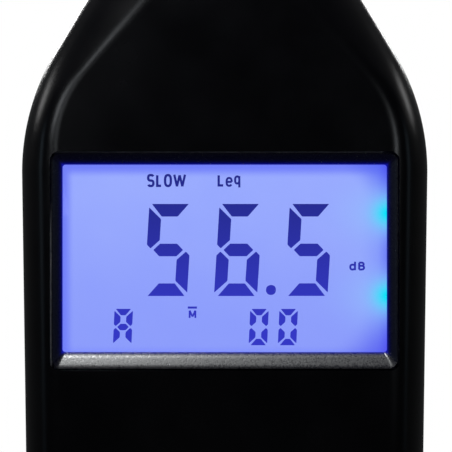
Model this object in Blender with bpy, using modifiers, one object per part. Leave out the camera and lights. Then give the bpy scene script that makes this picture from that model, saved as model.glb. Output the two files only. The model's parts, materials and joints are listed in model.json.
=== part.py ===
"""Handheld integrating sound level meter, standing on its flat lower end.

The model is in metres, +Z up. The microphone points along +Z, the display faces -Y and the
origin is the middle of the base. Every named size below is in millimetres, and the helpers
turn them into metres.
"""

import math

import bmesh
import bpy
from mathutils import Vector

MM = 0.001

# Casing outline, seen from the front
SHOULDER_HALF = 31.6  # half the width at the widest height
SHOULDER_Z = 131.5
BODY_TAPER = 0.0145  # half-width lost per millimetre below the shoulder
SHOULDER_R = 36.0
FLANK = math.radians(31.0)  # lean of the straight flank between shoulder and neck
NECK_HALF = 10.0
NECK_R = 36.0
NECK_TOP = 191.0
BASE_R = 4.0

# Casing depth, measured from the parting plane at y = 0
FRONT_DEPTH = 12.0
REAR_DEPTH = 13.0
WALL = 2.0
PARTING_GAP = 0.3
SIDE_WALL_FRONT = 5.0  # depth at which the side wall starts to turn towards the face
SIDE_WALL_REAR = 5.5
NECK_SIDE_WALL = 0.6
NECK_FLAT = 0.8  # half the narrowest flat strip, where the arch has closed
CURVE_STEPS = 16  # sections from the shoulder to the neck
SIDE_BAND = 4.2  # width of the rounded band between the outline and the flat face
REAR_CORNER = 7.0
RIDGE_TURN = math.radians(60.0)  # how far the band has turned where it meets the face
THIN_FROM_Z = 146.0  # the casing thins from here up to the neck

# Arch that the ridge draws over the display
ARCH_Z = 135.0
ARCH_R = 18.0
ARCH_LEAN = math.radians(42.0)
ARCH_TIP_R = 9.0
ARCH_FADE = 13.0  # face half-width below which the ridge softens

# Bosses: radius and screw hole radius
FRONT_BOSS = (3.0, 1.4)
REAR_BOSS = (3.4, 1.5)
BOARD_BOSS = (2.6, 1.2)
COUNTERBORE_R = 2.7
COUNTERBORE_Y = 9.5
BOSS_ROOT = 0.5  # how far a front boss reaches into the wall behind it

# Display: half sizes across and up, and depths from front to back
DISPLAY_Z = 118.0
WINDOW_HALF = (25.25, 14.55)
BEZEL_HALF = (26.95, 16.8)
BEZEL_Z = DISPLAY_Z - 0.38  # the frame is a little taller below its window than above
BEZEL_CORNER = 1.1
BEZEL_GAP = 0.25
BEZEL_FRONT = -11.9
BEZEL_LIP = -10.2
FLANGE_HALF = (26.65, 18.8)
FLANGE_FRONT = -9.7
BEZEL_BACK = -8.4
BEZEL_RIM = 0.25  # flat edge round the outside of the slopes
LENS_HALF = (25.9, 15.4)
LENS_FRONT = -9.25
GLASS_HALF = (26.6, 17.2)
GLASS_Y = (-8.1, -6.1)
HOLDER_HALF = (27.9, 19.0)
HOLDER_Y = (-8.1, -3.5)
GUIDE_HALF = (25.5, 14.8)
GUIDE_Y = (-5.8, -3.95)
REFLECTOR_Y = (-3.65, -3.5)
LED_SIZE = (0.8, 1.6, 3.2)
LED_FRONT = -5.6
LED_HEIGHTS = {"upper": DISPLAY_Z + 7.0, "lower": DISPLAY_Z - 5.8}
ZEBRA_HALF_X = 24.0
ZEBRA_BELOW = (16.8, 15.4)  # its lower and upper edge, below the middle of the display

# Keypad
KEY_HALF = (5.6, 3.6)
KEY_COLUMNS = (-15.5, 0.0, 15.5)
KEY_ROWS = (76.0, 61.0)
KEY_NAMES = (("weighting", "response", "mode"), ("max", "light", "set"))
POWER_Z = 44.0
POWER_R = 6.5
KEY_TOP = -13.0
KEY_BACK = -9.2
KEY_GAP = 0.35
KEY_FLANGE = 1.2
KEY_FLANGE_Y = (-9.7, -8.9)
KEY_STEM_R = 1.8
KEY_STEM_END = -6.1
OVERLAY_HALF_X = 23.4
OVERLAY_Z = (33.5, 86.0)
OVERLAY_CORNER = 3.0
OVERLAY_FLOOR = -11.3
MAT_HALF_X = 22.0
MAT_Z = (35.0, 84.0)
MAT_FRONT = -4.35
DOME_FOOT_R = 3.4
DOME_TOP_R = 2.4
DOME_TOP = -5.0

# Circuit board
BOARD_FRONT = -3.2
BOARD_REAR = -1.6
BOARD_HALF = 26.5
BOARD_Z = (17.0, 138.0)
UPPER_TAIL = (15.0, 152.0)  # half width and end of the tail up the shoulders
LOWER_TAIL = (12.0, 9.0)
BOARD_HOLE_R = 1.25
BOARD_SCREWS = ((-22.8, 92.0), (22.8, 92.0), (0.0, 12.5))
CASE_SCREWS = ((-19.0, 7.0), (19.0, 7.0), (-19.0, 145.0), (19.0, 145.0))
CHIP_HEIGHT = 1.6
CAPACITOR_R = 3.2
CAPACITOR_HEIGHT = 7.0

# Ports in the sides and the tripod thread in the back
SIDE_PORT_Y = 3.9
SIDE_PORT_Z = 104.0
JACK_R = 3.0
JACK_BORE = 1.8
JACK_HALF_Z = 5.0
JACK_X = (-31.0, -28.0, -17.0, -18.5)  # barrel end, body front, body back, bore end
TRIMMER_HALF_Z = 3.3
TRIMMER_X = (18.0, 25.0)
TRIMMER_SCREW_R = 1.2
TRIMMER_SCREW_X = (25.3, 28.6)
TRIMMER_SLOT = (0.5, 0.6)  # width and depth
TRIMMER_HOLE = 1.6
TRIPOD_Z = 95.0
TRIPOD_BORE = 3.0  # mean radius of a 1/4-20 thread
TRIPOD_INSERT_R = 4.0
TRIPOD_INSERT_Y = 5.0
TRIPOD_BOSS_R = 5.8

# Battery compartment
CELL_R = 5.1
CELL_BODY = 43.7
CELL_NUB = 0.8
CELL_PITCH = 10.9
CELL_Y = 5.65
TRAY_HALF = 22.0
TRAY_WALL = 1.2
TRAY_LOW = 16.6
TRAY_HIGH = 65.8
TRAY_FLOOR = 0.2
SPRING_HEIGHT = 3.0
SPRING_FOOT_R = 3.4
SPRING_TOP_R = 2.2
PLATE = 0.4
PLATE_SPAN = 4.6  # from a cell's axis to the edge of its contact plate
PLATE_DEPTH = (1.0, 10.2)
TAB_HALF = 1.5
TAB_TOP = 69.0
TAB_SLOT_HALF = 1.9
DOOR_HALF = 22.3
DOOR_INNER = 11.2
DOOR_TOP = 70.0
GRIP_HALF = 8.0
GRIP_PITCH = 2.4
GRIP_WIDTH = 1.2
GRIP_BELOW = 12.0
GRIP_DEPTH = 0.5
SCOOP_R = 6.0
SCOOP_HALF = 7.0
SCOOP_DEPTH = 1.1
HINGE_Y = 11.4
HINGE_Z = 13.4
HINGE_R = 1.6
PIN_R = 0.65
PIN_REACH = 1.3
PIN_HOLE_R = 0.95
HINGE_BLOCK_X = 25.0
HINGE_BLOCK_Y = 9.4
HINGE_BLOCK_HALF = 2.4

# Microphone, on the z axis
TUBE_R = 6.35
TUBE_WALL = 0.8
TUBE_Z = (172.0, 221.6)
GROMMET_FOOT = 183.0
GROMMET_R = (7.5, 9.6)  # in the neck and at its rim
RIM = 1.3
COLLAR_R = (8.0, 9.4)
COLLAR_HEIGHT = (1.6, 3.5)
CAPSULE_R = 6.6
CAPSULE_STEP_R = 5.9
CAPSULE_STEP = 226.0
CAPSULE_TOP = 231.0
SPIGOT = 3.0
MIC_TOP = 236.0
GRID_ROOF = 0.8

# Clearances
GAP = 0.3  # between pieces that touch on the real object
OVERRUN = 1.0  # how far a cutter or a joined boss runs past a surface


def start_scene():
    """Empty scene with one collection for the parts and one for the cutters."""
    for obj in list(bpy.data.objects):
        bpy.data.objects.remove(obj, do_unlink=True)
    made = []
    for name in ("sound_level_meter", "cutters"):
        collection = bpy.data.collections.new(name)
        bpy.context.scene.collection.children.link(collection)
        made.append(collection)
    return made


PARTS, CUTTERS = start_scene()


def paint(name, colour, roughness, metallic=0.0, alpha=1.0):
    """A Principled material."""
    made = bpy.data.materials.new(name)
    made.use_nodes = True
    shader = made.node_tree.nodes["Principled BSDF"]
    shader.inputs["Base Color"].default_value = (*colour, 1.0)
    shader.inputs["Roughness"].default_value = roughness
    shader.inputs["Metallic"].default_value = metallic
    shader.inputs["Alpha"].default_value = alpha
    return made


BLACK_ABS = paint("black_abs", (0.012, 0.013, 0.015), 0.45)
BEZEL_BLACK = paint("bezel_black", (0.016, 0.017, 0.018), 0.4)
GRAPHITE = paint("graphite_label", (0.05, 0.055, 0.06), 0.5)
KEY_GREY = paint("key_grey", (0.32, 0.34, 0.36), 0.55)
KEY_ORANGE = paint("key_orange", (0.75, 0.16, 0.03), 0.5)
SILICONE = paint("silicone", (0.2, 0.2, 0.21), 0.7)
RUBBER = paint("rubber", (0.02, 0.02, 0.02), 0.8)
CLEAR = paint("clear_acrylic", (0.9, 0.93, 0.95), 0.05, alpha=0.3)
LCD_BLUE = paint("lcd_blue", (0.25, 0.32, 0.95), 0.3)
WHITE_PLASTIC = paint("white_plastic", (0.8, 0.8, 0.8), 0.4)
BOARD_GREEN = paint("board_green", (0.02, 0.16, 0.06), 0.4)
CHIP_BLACK = paint("chip_black", (0.02, 0.02, 0.02), 0.5)
STEEL = paint("steel", (0.6, 0.6, 0.6), 0.3, 1.0)
NICKEL = paint("nickel", (0.66, 0.64, 0.6), 0.25, 1.0)
BRASS = paint("brass", (0.7, 0.5, 0.2), 0.3, 1.0)
TRIMMER_BLUE = paint("trimmer_blue", (0.05, 0.15, 0.5), 0.4)
CELL_JACKET = paint("cell_jacket", (0.1, 0.12, 0.14), 0.35, 0.6)
RED_WIRE = paint("red_wire", (0.6, 0.02, 0.02), 0.5)
BLACK_WIRE = paint("black_wire", (0.02, 0.02, 0.02), 0.5)


# Shapes


def add(name, mesh, colour, at=(0.0, 0.0, 0.0)):
    """An object in the parts collection, with its origin at `at`."""
    obj = bpy.data.objects.new(name, mesh)
    PARTS.objects.link(obj)
    obj.location = Vector(at) * MM
    obj.data.materials.append(colour)
    return obj


def helper(obj):
    """Moves an object out of the parts: it only cuts or joins another one."""
    PARTS.objects.unlink(obj)
    CUTTERS.objects.link(obj)
    obj.hide_render = True
    obj.display_type = "WIRE"
    return obj


def combine(target, other, operation):
    helper(other)
    modifier = target.modifiers.new(other.name, "BOOLEAN")
    modifier.operation = operation
    modifier.object = other
    modifier.solver = "EXACT"
    return target


def join(target, *others):
    for other in others:
        combine(target, other, "UNION")
    return target


def cut(target, *cutters):
    for cutter in cutters:
        combine(target, cutter, "DIFFERENCE")
    return target


def from_bmesh(name, shape, colour, at=(0.0, 0.0, 0.0)):
    """Turns a bmesh in millimetres into an object with its origin at `at`, shaded smooth up to
    its sharp edges."""
    bmesh.ops.translate(shape, vec=-Vector(at), verts=shape.verts)
    bmesh.ops.scale(shape, vec=(MM, MM, MM), verts=shape.verts)
    mesh = bpy.data.meshes.new(name)
    shape.to_mesh(mesh)
    shape.free()
    mesh.shade_smooth()
    mesh.set_sharp_from_angle(angle=math.radians(35.0))
    return add(name, mesh, colour, at)


def block(name, low, high, colour, at=(0.0, 0.0, 0.0), corner=0.0, along="Y", segments=3):
    """A box between two corners. `corner` rounds its edges along one axis."""
    low, high = Vector(low), Vector(high)
    shape = bmesh.new()
    bmesh.ops.create_cube(shape, size=1.0)
    bmesh.ops.scale(shape, vec=high - low, verts=shape.verts)
    bmesh.ops.translate(shape, vec=(low + high) / 2, verts=shape.verts)
    if corner:
        axis = "XYZ".index(along)
        edges = [e for e in shape.edges if abs((e.verts[0].co - e.verts[1].co)[axis]) > 1e-6]
        bmesh.ops.bevel(
            shape, geom=edges, offset=corner, segments=segments, profile=0.5, affect="EDGES"
        )
    return from_bmesh(name, shape, colour, at)


def plate(name, half, y_range, colour, corner=0.0, segments=3, z=DISPLAY_Z):
    """A rectangle in the plane of the display, given by its half width and half height."""
    low = (-half[0], y_range[0], z - half[1])
    high = (half[0], y_range[1], z + half[1])
    return block(name, low, high, colour, corner=corner, segments=segments)


def rod(name, radius, start, end, colour, at=(0.0, 0.0, 0.0), sides=20, end_radius=None):
    """A cylinder, or a cone with `end_radius`, from one point to another."""
    start, end = Vector(start), Vector(end)
    shape = bmesh.new()
    bmesh.ops.create_cone(
        shape,
        cap_ends=True,
        segments=sides,
        radius1=radius,
        radius2=radius if end_radius is None else end_radius,
        depth=(end - start).length,
    )
    turn = Vector((0, 0, 1)).rotation_difference(end - start).to_matrix()
    bmesh.ops.rotate(shape, matrix=turn, verts=shape.verts)
    bmesh.ops.translate(shape, vec=(start + end) / 2, verts=shape.verts)
    return from_bmesh(name, shape, colour, at)


def rod_along_y(name, radius, place, y_range, colour, sides=16, end_radius=None):
    """A cylinder or cone along Y through the point (x, z)."""
    x, z = place
    start, end = (x, y_range[0], z), (x, y_range[1], z)
    return rod(name, radius, start, end, colour, sides=sides, end_radius=end_radius)


def turned(name, profile, colour, at=(0.0, 0.0, 0.0), towards=(0, 0, 1), steps=24, ring=False):
    """A solid of revolution. The profile of (radius, height) runs down its outer side from the
    top, and heights are measured towards `towards` from `at`."""
    mesh = bpy.data.meshes.new(name)
    points = [(radius * MM, 0.0, height * MM) for radius, height in profile]
    edges = [(i, i + 1) for i in range(len(points) - 1)]
    if ring:
        edges.append((len(points) - 1, 0))
    mesh.from_pydata(points, edges, [])
    obj = add(name, mesh, colour, at)
    obj.rotation_mode = "QUATERNION"
    obj.rotation_quaternion = Vector((0, 0, 1)).rotation_difference(Vector(towards))
    screw = obj.modifiers.new("turn", "SCREW")
    screw.steps = steps
    screw.render_steps = steps
    screw.use_merge_vertices = True
    screw.merge_threshold = 0.00001
    screw.use_smooth_shade = True
    return obj


def wire(name, radius, points, colour, smooth=True):
    """A round wire through the points, as a closed mesh."""
    curve = bpy.data.curves.new(name, "CURVE")
    curve.dimensions = "3D"
    curve.bevel_depth = radius * MM
    curve.bevel_resolution = 1
    curve.use_fill_caps = True
    spline = curve.splines.new("POLY")
    if smooth:
        points = smooth_path(points)
    spline.points.add(len(points) - 1)
    for target, point in zip(spline.points, points):
        target.co = (*(Vector(point) * MM), 1.0)
    obj = add(name, curve, colour)
    return as_mesh(obj)


def as_mesh(obj):
    """The curve object made a mesh object with its caps welded to its sides."""
    bpy.context.view_layer.update()
    graph = bpy.context.evaluated_depsgraph_get()
    mesh = bpy.data.meshes.new_from_object(obj.evaluated_get(graph))
    shape = bmesh.new()
    shape.from_mesh(mesh)
    bmesh.ops.remove_doubles(shape, verts=shape.verts, dist=0.000005)
    shape.to_mesh(mesh)
    shape.free()
    name, matrix = obj.name, obj.matrix_world.copy()
    bpy.data.objects.remove(obj, do_unlink=True)
    made = bpy.data.objects.new(name, mesh)
    PARTS.objects.link(made)
    made.matrix_world = matrix
    return made


def smooth_path(points, steps=4):
    """Points along a Catmull-Rom curve through the given ones."""
    points = [Vector(p) for p in points]
    ends = [2 * points[0] - points[1], *points, 2 * points[-1] - points[-2]]
    path = []
    for a, b, c, d in zip(ends, ends[1:], ends[2:], ends[3:]):
        for i in range(steps):
            t = i / steps
            path.append(
                0.5 * (2 * b + (c - a) * t + (2 * a - 5 * b + 4 * c - d) * t**2
                       + (3 * b - a - 3 * c + d) * t**3)
            )
    return [*path, points[-1]]


# Casing surface


def ease(value, start, end):
    """0 before start, 1 after end, smooth in between."""
    share = min(max((value - start) / (end - start), 0.0), 1.0)
    return share * share * (3.0 - 2.0 * share)


def mix(low, high, share):
    return low + (high - low) * share


def shoulder_arc_end():
    """Height and half-width where the shoulder arc becomes the straight flank."""
    z = SHOULDER_Z + SHOULDER_R * math.sin(FLANK)
    return z, SHOULDER_HALF - SHOULDER_R * (1 - math.cos(FLANK))


def neck_start():
    """Height at which the flank has turned straight up into the neck."""
    z, half = shoulder_arc_end()
    turn_half = NECK_HALF + NECK_R * (1 - math.cos(FLANK))
    return z + (half - turn_half) / math.tan(FLANK) + NECK_R * math.sin(FLANK)


def half_width(z):
    """Half the casing's width: taper, shoulder arc, straight flank, neck arc and neck."""
    arc_z, arc_half = shoulder_arc_end()
    neck_z = neck_start()
    if z <= SHOULDER_Z:
        return SHOULDER_HALF - BODY_TAPER * (SHOULDER_Z - z)
    if z <= arc_z:
        return SHOULDER_HALF - SHOULDER_R + math.sqrt(SHOULDER_R**2 - (z - SHOULDER_Z) ** 2)
    if z <= neck_z - NECK_R * math.sin(FLANK):
        return arc_half - (z - arc_z) * math.tan(FLANK)
    if z < neck_z:
        return NECK_HALF + NECK_R - math.sqrt(NECK_R**2 - (neck_z - z) ** 2)
    return NECK_HALF


def arch_half(z):
    """Half the flat front face's width, which closes in a rounded arch below the neck."""
    if z <= ARCH_Z:
        return half_width(z) - SIDE_BAND
    foot = half_width(ARCH_Z) - SIDE_BAND
    arc_z = ARCH_Z + ARCH_R * math.sin(ARCH_LEAN)
    if z <= arc_z:
        return foot - ARCH_R + math.sqrt(ARCH_R**2 - (z - ARCH_Z) ** 2)
    flank = foot - ARCH_R * (1 - math.cos(ARCH_LEAN))
    tip_z = arc_z + (flank - ARCH_TIP_R * math.cos(ARCH_LEAN)) / math.tan(ARCH_LEAN)
    if z <= tip_z:
        return flank - (z - arc_z) * math.tan(ARCH_LEAN)
    above = z - tip_z + ARCH_TIP_R * math.sin(ARCH_LEAN)
    return math.sqrt(max(ARCH_TIP_R**2 - above**2, 0.0))


def base_inset(z):
    """How far the rounding at the base pulls the section in."""
    return BASE_R - math.sqrt(BASE_R**2 - (BASE_R - z) ** 2) if z < BASE_R else 0.0


def quarter_section(z, front, arc_steps):
    """(x, depth) points from the parting line at the side round to the middle of the face."""
    inset = base_inset(z)
    side = half_width(z) - inset
    thinning = ease(z, THIN_FROM_Z, neck_start())
    if front:
        depth, wall = FRONT_DEPTH, SIDE_WALL_FRONT
        flat = arch_half(z) - inset
        turn = mix(math.pi / 2, RIDGE_TURN, ease(flat, 0.0, ARCH_FADE))
    else:
        depth, wall = REAR_DEPTH, SIDE_WALL_REAR
        flat = mix(side - REAR_CORNER, 0.0, thinning)
        turn = math.pi / 2
    flat = max(flat, NECK_FLAT)
    depth = mix(depth, NECK_HALF, thinning) - inset
    wall = mix(wall, NECK_SIDE_WALL, thinning)
    points = [(side, PARTING_GAP / 2)]
    for i in range(arc_steps + 1):
        angle = turn * i / arc_steps
        share = (math.cos(angle) - math.cos(turn)) / (1 - math.cos(turn))
        rise = math.sin(angle) / math.sin(turn)
        points.append((mix(flat, side, share), mix(wall, depth, rise)))
    return points


def stations():
    """Heights of the casing's sections, closer together where it curves."""
    base = [BASE_R * (1 - math.cos(math.radians(a))) for a in (0, 30, 50, 70, 90)]
    top = neck_start()
    curved = [mix(SHOULDER_Z, top, i / CURVE_STEPS) for i in range(CURVE_STEPS + 1)]
    return [*base, *curved, NECK_TOP]


def skin(name, front, arc_steps):
    """Half of the casing as an open lofted surface, thickened inwards by Solidify."""
    side = -1 if front else 1
    shape = bmesh.new()
    rings = []
    for z in stations():
        half = quarter_section(z, front, arc_steps)
        ring = [(-x, y) for x, y in half] + [(x, y) for x, y in reversed(half)]
        rings.append([shape.verts.new((x, side * y, z)) for x, y in ring])
    for lower, upper in zip(rings, rings[1:]):
        for i in range(len(lower) - 1):
            face = (lower[i], lower[i + 1], upper[i + 1], upper[i])
            shape.faces.new(face if front else reversed(face))
    shape.faces.new(reversed(rings[0]) if front else rings[0])
    obj = from_bmesh(name, shape, BLACK_ABS)
    wall = obj.modifiers.new("wall", "SOLIDIFY")
    wall.thickness = WALL * MM
    wall.offset = -1.0
    wall.use_even_offset = True
    wall.use_quality_normals = True
    return obj


# Casing parts


def key_places():
    """Name, x, z and outline of each key: half width, half height and corner radius."""
    places = []
    for names, z in zip(KEY_NAMES, KEY_ROWS):
        for name, x in zip(names, KEY_COLUMNS):
            places.append((name, x, z, KEY_HALF))
    places.append(("power", 0.0, POWER_Z, (POWER_R, POWER_R)))
    return places


def key_block(name, place, grow, y_range, colour, at=(0.0, 0.0, 0.0)):
    """A block with a key's round-ended outline, larger all round by `grow`."""
    _, x, z, half = place
    half_x, half_z = half[0] + grow, half[1] + grow
    low = (x - half_x, y_range[0], z - half_z)
    high = (x + half_x, y_range[1], z + half_z)
    return block(name, low, high, colour, at=at, corner=half_z - 0.02, segments=4)


def boss(case, name, place, sizes, y_range, hole_range):
    """Joins a round boss along Y to the case and drills it."""
    radius, hole = sizes
    join(case, rod_along_y(name, radius, place, y_range, BLACK_ABS))
    cut(case, rod_along_y(f"{name}_hole", hole, place, hole_range, BLACK_ABS, sides=12))


def front_case():
    """Front shell: display window, keypad recess, key holes and screw bosses."""
    case = skin("front_case", front=True, arc_steps=5)
    face = -FRONT_DEPTH - OVERRUN
    inner = WALL - FRONT_DEPTH
    root = inner - BOSS_ROOT
    for i, place in enumerate(CASE_SCREWS, 1):
        boss(case, f"case_boss_{i}", place, FRONT_BOSS, (root, -GAP), (inner, OVERRUN))
    for i, place in enumerate(BOARD_SCREWS, 1):
        top = BOARD_FRONT - GAP
        boss(case, f"board_boss_{i}", place, BOARD_BOSS, (root, top), (inner, top + OVERRUN))
    opening = [size + BEZEL_GAP for size in BEZEL_HALF]
    corner = BEZEL_CORNER + GAP
    y_range = (face, inner + OVERRUN)
    cut(case, plate("window_opening", opening, y_range, BLACK_ABS, corner=corner, z=BEZEL_Z))
    low = (-OVERLAY_HALF_X - GAP, face, OVERLAY_Z[0] - GAP)
    high = (OVERLAY_HALF_X + GAP, OVERLAY_FLOOR, OVERLAY_Z[1] + GAP)
    cut(case, block("overlay_recess", low, high, BLACK_ABS, corner=OVERLAY_CORNER + GAP))
    for place in key_places():
        hole = key_block(f"{place[0]}_hole", place, KEY_GAP, (face, inner + OVERRUN), BLACK_ABS)
        cut(case, hole)
    return case


def rear_case():
    """Rear shell: battery tray, door opening and hinge holes, tripod boss and screw bosses."""
    case = skin("rear_case", front=False, arc_steps=4)
    outside = REAR_DEPTH + OVERRUN
    root = REAR_DEPTH - WALL + OVERRUN
    for i, place in enumerate(CASE_SCREWS, 1):
        boss(case, f"rear_boss_{i}", place, REAR_BOSS, (GAP, root), (0.0, outside))
        y_range = (COUNTERBORE_Y, outside)
        cut(case, rod_along_y(f"rear_counterbore_{i}", COUNTERBORE_R, place, y_range, BLACK_ABS))

    outer = TRAY_HALF + TRAY_WALL
    low = (-outer, TRAY_FLOOR - TRAY_WALL, TRAY_LOW - TRAY_WALL)
    join(case, block("tray", low, (outer, root, TRAY_HIGH + TRAY_WALL), BLACK_ABS))
    low = (-TRAY_HALF, TRAY_FLOOR, TRAY_LOW)
    cut(case, block("tray_inside", low, (TRAY_HALF, outside, TRAY_HIGH), BLACK_ABS))
    for side, name in ((-1, "left"), (1, "right")):
        hinge_support(case, side, name)
        x = side * CELL_PITCH * 1.5
        low = (x - TAB_SLOT_HALF, PLATE_DEPTH[0] - GAP, TRAY_HIGH - BOSS_ROOT)
        high = (x + TAB_SLOT_HALF, PLATE_DEPTH[0] + 3 * GAP, TRAY_HIGH + TRAY_WALL + BOSS_ROOT)
        cut(case, block(f"tab_slot_{name}", low, high, BLACK_ABS))
    opening = DOOR_HALF + GAP
    low = (-opening, REAR_DEPTH - WALL - OVERRUN, HINGE_Z - HINGE_R - GAP)
    cut(case, block("door_opening", low, (opening, outside, DOOR_TOP + GAP), BLACK_ABS))
    scoop_y = REAR_DEPTH - SCOOP_DEPTH + SCOOP_R
    start, end = (-SCOOP_HALF, scoop_y, DOOR_TOP + 1.0), (SCOOP_HALF, scoop_y, DOOR_TOP + 1.0)
    cut(case, rod("finger_scoop", SCOOP_R, start, end, BLACK_ABS, sides=24))

    place = (0.0, TRIPOD_Z)
    y_range = (TRIPOD_INSERT_Y - 1.5, root)
    join(case, rod_along_y("tripod_boss", TRIPOD_BOSS_R, place, y_range, BLACK_ABS, sides=20))
    y_range = (TRIPOD_INSERT_Y - GAP, outside)
    hole = rod_along_y(
        "tripod_hole", TRIPOD_INSERT_R + GAP, place, y_range, BLACK_ABS, sides=20
    )
    cut(case, hole)
    for name, side, radius in (("jack_hole", -1, JACK_R + GAP), ("trimmer_hole", 1, TRIMMER_HOLE)):
        start = (side * (SHOULDER_HALF + OVERRUN), SIDE_PORT_Y, SIDE_PORT_Z)
        end = (side * 26.0, SIDE_PORT_Y, SIDE_PORT_Z)
        cut(case, rod(name, radius, start, end, BLACK_ABS))
    return case


def hinge_support(case, side, name):
    """Block beside the door, drilled for one of its pins."""
    near, far = DOOR_HALF + GAP, HINGE_BLOCK_X
    x_low, x_high = sorted((side * near, side * far))
    low = (x_low, HINGE_BLOCK_Y, HINGE_Z - HINGE_BLOCK_HALF)
    high = (x_high, REAR_DEPTH - WALL + BOSS_ROOT, HINGE_Z + HINGE_BLOCK_HALF)
    join(case, block(f"hinge_block_{name}", low, high, BLACK_ABS))
    start = (side * (DOOR_HALF - GAP), HINGE_Y, HINGE_Z)
    end = (side * (DOOR_HALF + PIN_REACH + GAP), HINGE_Y, HINGE_Z)
    cut(case, rod(f"hinge_hole_{name}", PIN_HOLE_R, start, end, BLACK_ABS, sides=12))


def battery_door():
    """Door over the cells, hinged at its lower end on two short pins."""
    at = (0.0, HINGE_Y, HINGE_Z)
    low, high = (-DOOR_HALF, DOOR_INNER, HINGE_Z), (DOOR_HALF, REAR_DEPTH, DOOR_TOP)
    door = block("battery_door", low, high, BLACK_ABS, at=at)
    for name, radius, half, sides in (
        ("door_knuckle", HINGE_R, DOOR_HALF, 16),
        ("door_pin", PIN_R, DOOR_HALF + PIN_REACH, 12),
    ):
        start, end = (-half, HINGE_Y, HINGE_Z), (half, HINGE_Y, HINGE_Z)
        join(door, rod(name, radius, start, end, BLACK_ABS, sides=sides))
    for i in range(3):
        z = DOOR_TOP - GRIP_BELOW + GRIP_PITCH * i
        low = (-GRIP_HALF, REAR_DEPTH - GRIP_DEPTH, z)
        high = (GRIP_HALF, REAR_DEPTH + OVERRUN, z + GRIP_WIDTH)
        cut(door, block(f"door_grip_{i + 1}", low, high, BLACK_ABS))
    return door


# Display


def display_bezel():
    """Frame whose four sides slope in to the window, with a flange behind the case wall."""
    y_range = (BEZEL_FRONT, BEZEL_BACK)
    bezel = plate(
        "display_bezel", BEZEL_HALF, y_range, BEZEL_BLACK, corner=BEZEL_CORNER, z=BEZEL_Z
    )
    join(bezel, plate("bezel_flange", FLANGE_HALF, (FLANGE_FRONT, BEZEL_BACK - 0.1), BEZEL_BLACK))
    cut(bezel, bezel_slopes())
    cut(bezel, plate("bezel_window", WINDOW_HALF, (-11.0, -8.0), BEZEL_BLACK))
    pocket = [size + GAP for size in LENS_HALF]
    cut(bezel, plate("lens_pocket", pocket, (LENS_FRONT - GAP, BEZEL_BACK + GAP), BEZEL_BLACK))
    return bezel


def bezel_slopes():
    """Cutter whose sides slope from the bezel's rim to the window."""
    shape = bmesh.new()
    outer = [size - BEZEL_RIM for size in BEZEL_HALF]
    slope = (BEZEL_LIP - BEZEL_FRONT) / (outer[0] - WINDOW_HALF[0])
    above = 0.5
    rings = []
    for half, y, z in (
        ([size + above for size in outer], BEZEL_FRONT - above * slope, BEZEL_Z),
        (outer, BEZEL_FRONT, BEZEL_Z),
        (WINDOW_HALF, BEZEL_LIP, DISPLAY_Z),
    ):
        corners = ((-1, -1), (1, -1), (1, 1), (-1, 1))
        rings.append([shape.verts.new((a * half[0], y, z + b * half[1])) for a, b in corners])
    for near, far in zip(rings, rings[1:]):
        for i in range(4):
            shape.faces.new((near[i], far[i], far[(i + 1) % 4], near[(i + 1) % 4]))
    shape.faces.new(rings[0])
    shape.faces.new(reversed(rings[-1]))
    return from_bmesh("bezel_slopes", shape, BEZEL_BLACK)


def display_stack():
    """Window, display, its holder, and the lit layers behind it, from front to back."""
    plate("window_lens", LENS_HALF, (LENS_FRONT, BEZEL_BACK), CLEAR)
    plate("lcd_glass", GLASS_HALF, GLASS_Y, LCD_BLUE)
    holder = plate("lcd_holder", HOLDER_HALF, HOLDER_Y, WHITE_PLASTIC)
    inner = [size + GAP for size in GLASS_HALF]
    y_range = (HOLDER_Y[0] - OVERRUN, HOLDER_Y[1] + OVERRUN)
    cut(holder, plate("holder_opening", inner, y_range, WHITE_PLASTIC))
    plate("light_guide", GUIDE_HALF, GUIDE_Y, WHITE_PLASTIC)
    plate("reflector_sheet", GUIDE_HALF, REFLECTOR_Y, WHITE_PLASTIC)
    width, depth, height = LED_SIZE
    x = GUIDE_HALF[0] + GAP
    for name, z in LED_HEIGHTS.items():
        low = (x, LED_FRONT, z - height / 2)
        high = (x + width, LED_FRONT + depth, z + height / 2)
        block(f"backlight_led_{name}", low, high, WHITE_PLASTIC)
    low = (-ZEBRA_HALF_X, GLASS_Y[1] + GAP, DISPLAY_Z - ZEBRA_BELOW[0])
    high = (ZEBRA_HALF_X, BOARD_FRONT - GAP, DISPLAY_Z - ZEBRA_BELOW[1])
    block("zebra_strip", low, high, SILICONE)


# Keypad


def keys():
    """Seven keys, each with a cap, a flange that keeps it in, and a stem onto the mat."""
    for place in key_places():
        name, x, z, _ = place
        at = (x, KEY_TOP, z)
        colour = KEY_ORANGE if name == "power" else KEY_GREY
        key = key_block(f"key_{name}", place, 0.0, (KEY_TOP, KEY_BACK), colour, at=at)
        join(key, key_block(f"{name}_flange", place, KEY_FLANGE, KEY_FLANGE_Y, colour))
        y_range = (KEY_BACK - 0.1, KEY_STEM_END)
        join(key, rod_along_y(f"{name}_stem", KEY_STEM_R, (x, z), y_range, colour, sides=12))


def key_mat():
    """Silicone mat on the board, with a dome under each key."""
    low, high = (-MAT_HALF_X, MAT_FRONT, MAT_Z[0]), (MAT_HALF_X, BOARD_FRONT - GAP, MAT_Z[1])
    mat = block("key_mat", low, high, SILICONE)
    for name, x, z, _ in key_places():
        dome = rod_along_y(
            f"{name}_dome",
            DOME_FOOT_R,
            (x, z),
            (MAT_FRONT + 0.35, DOME_TOP),
            SILICONE,
            sides=14,
            end_radius=DOME_TOP_R,
        )
        join(mat, dome)


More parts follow.
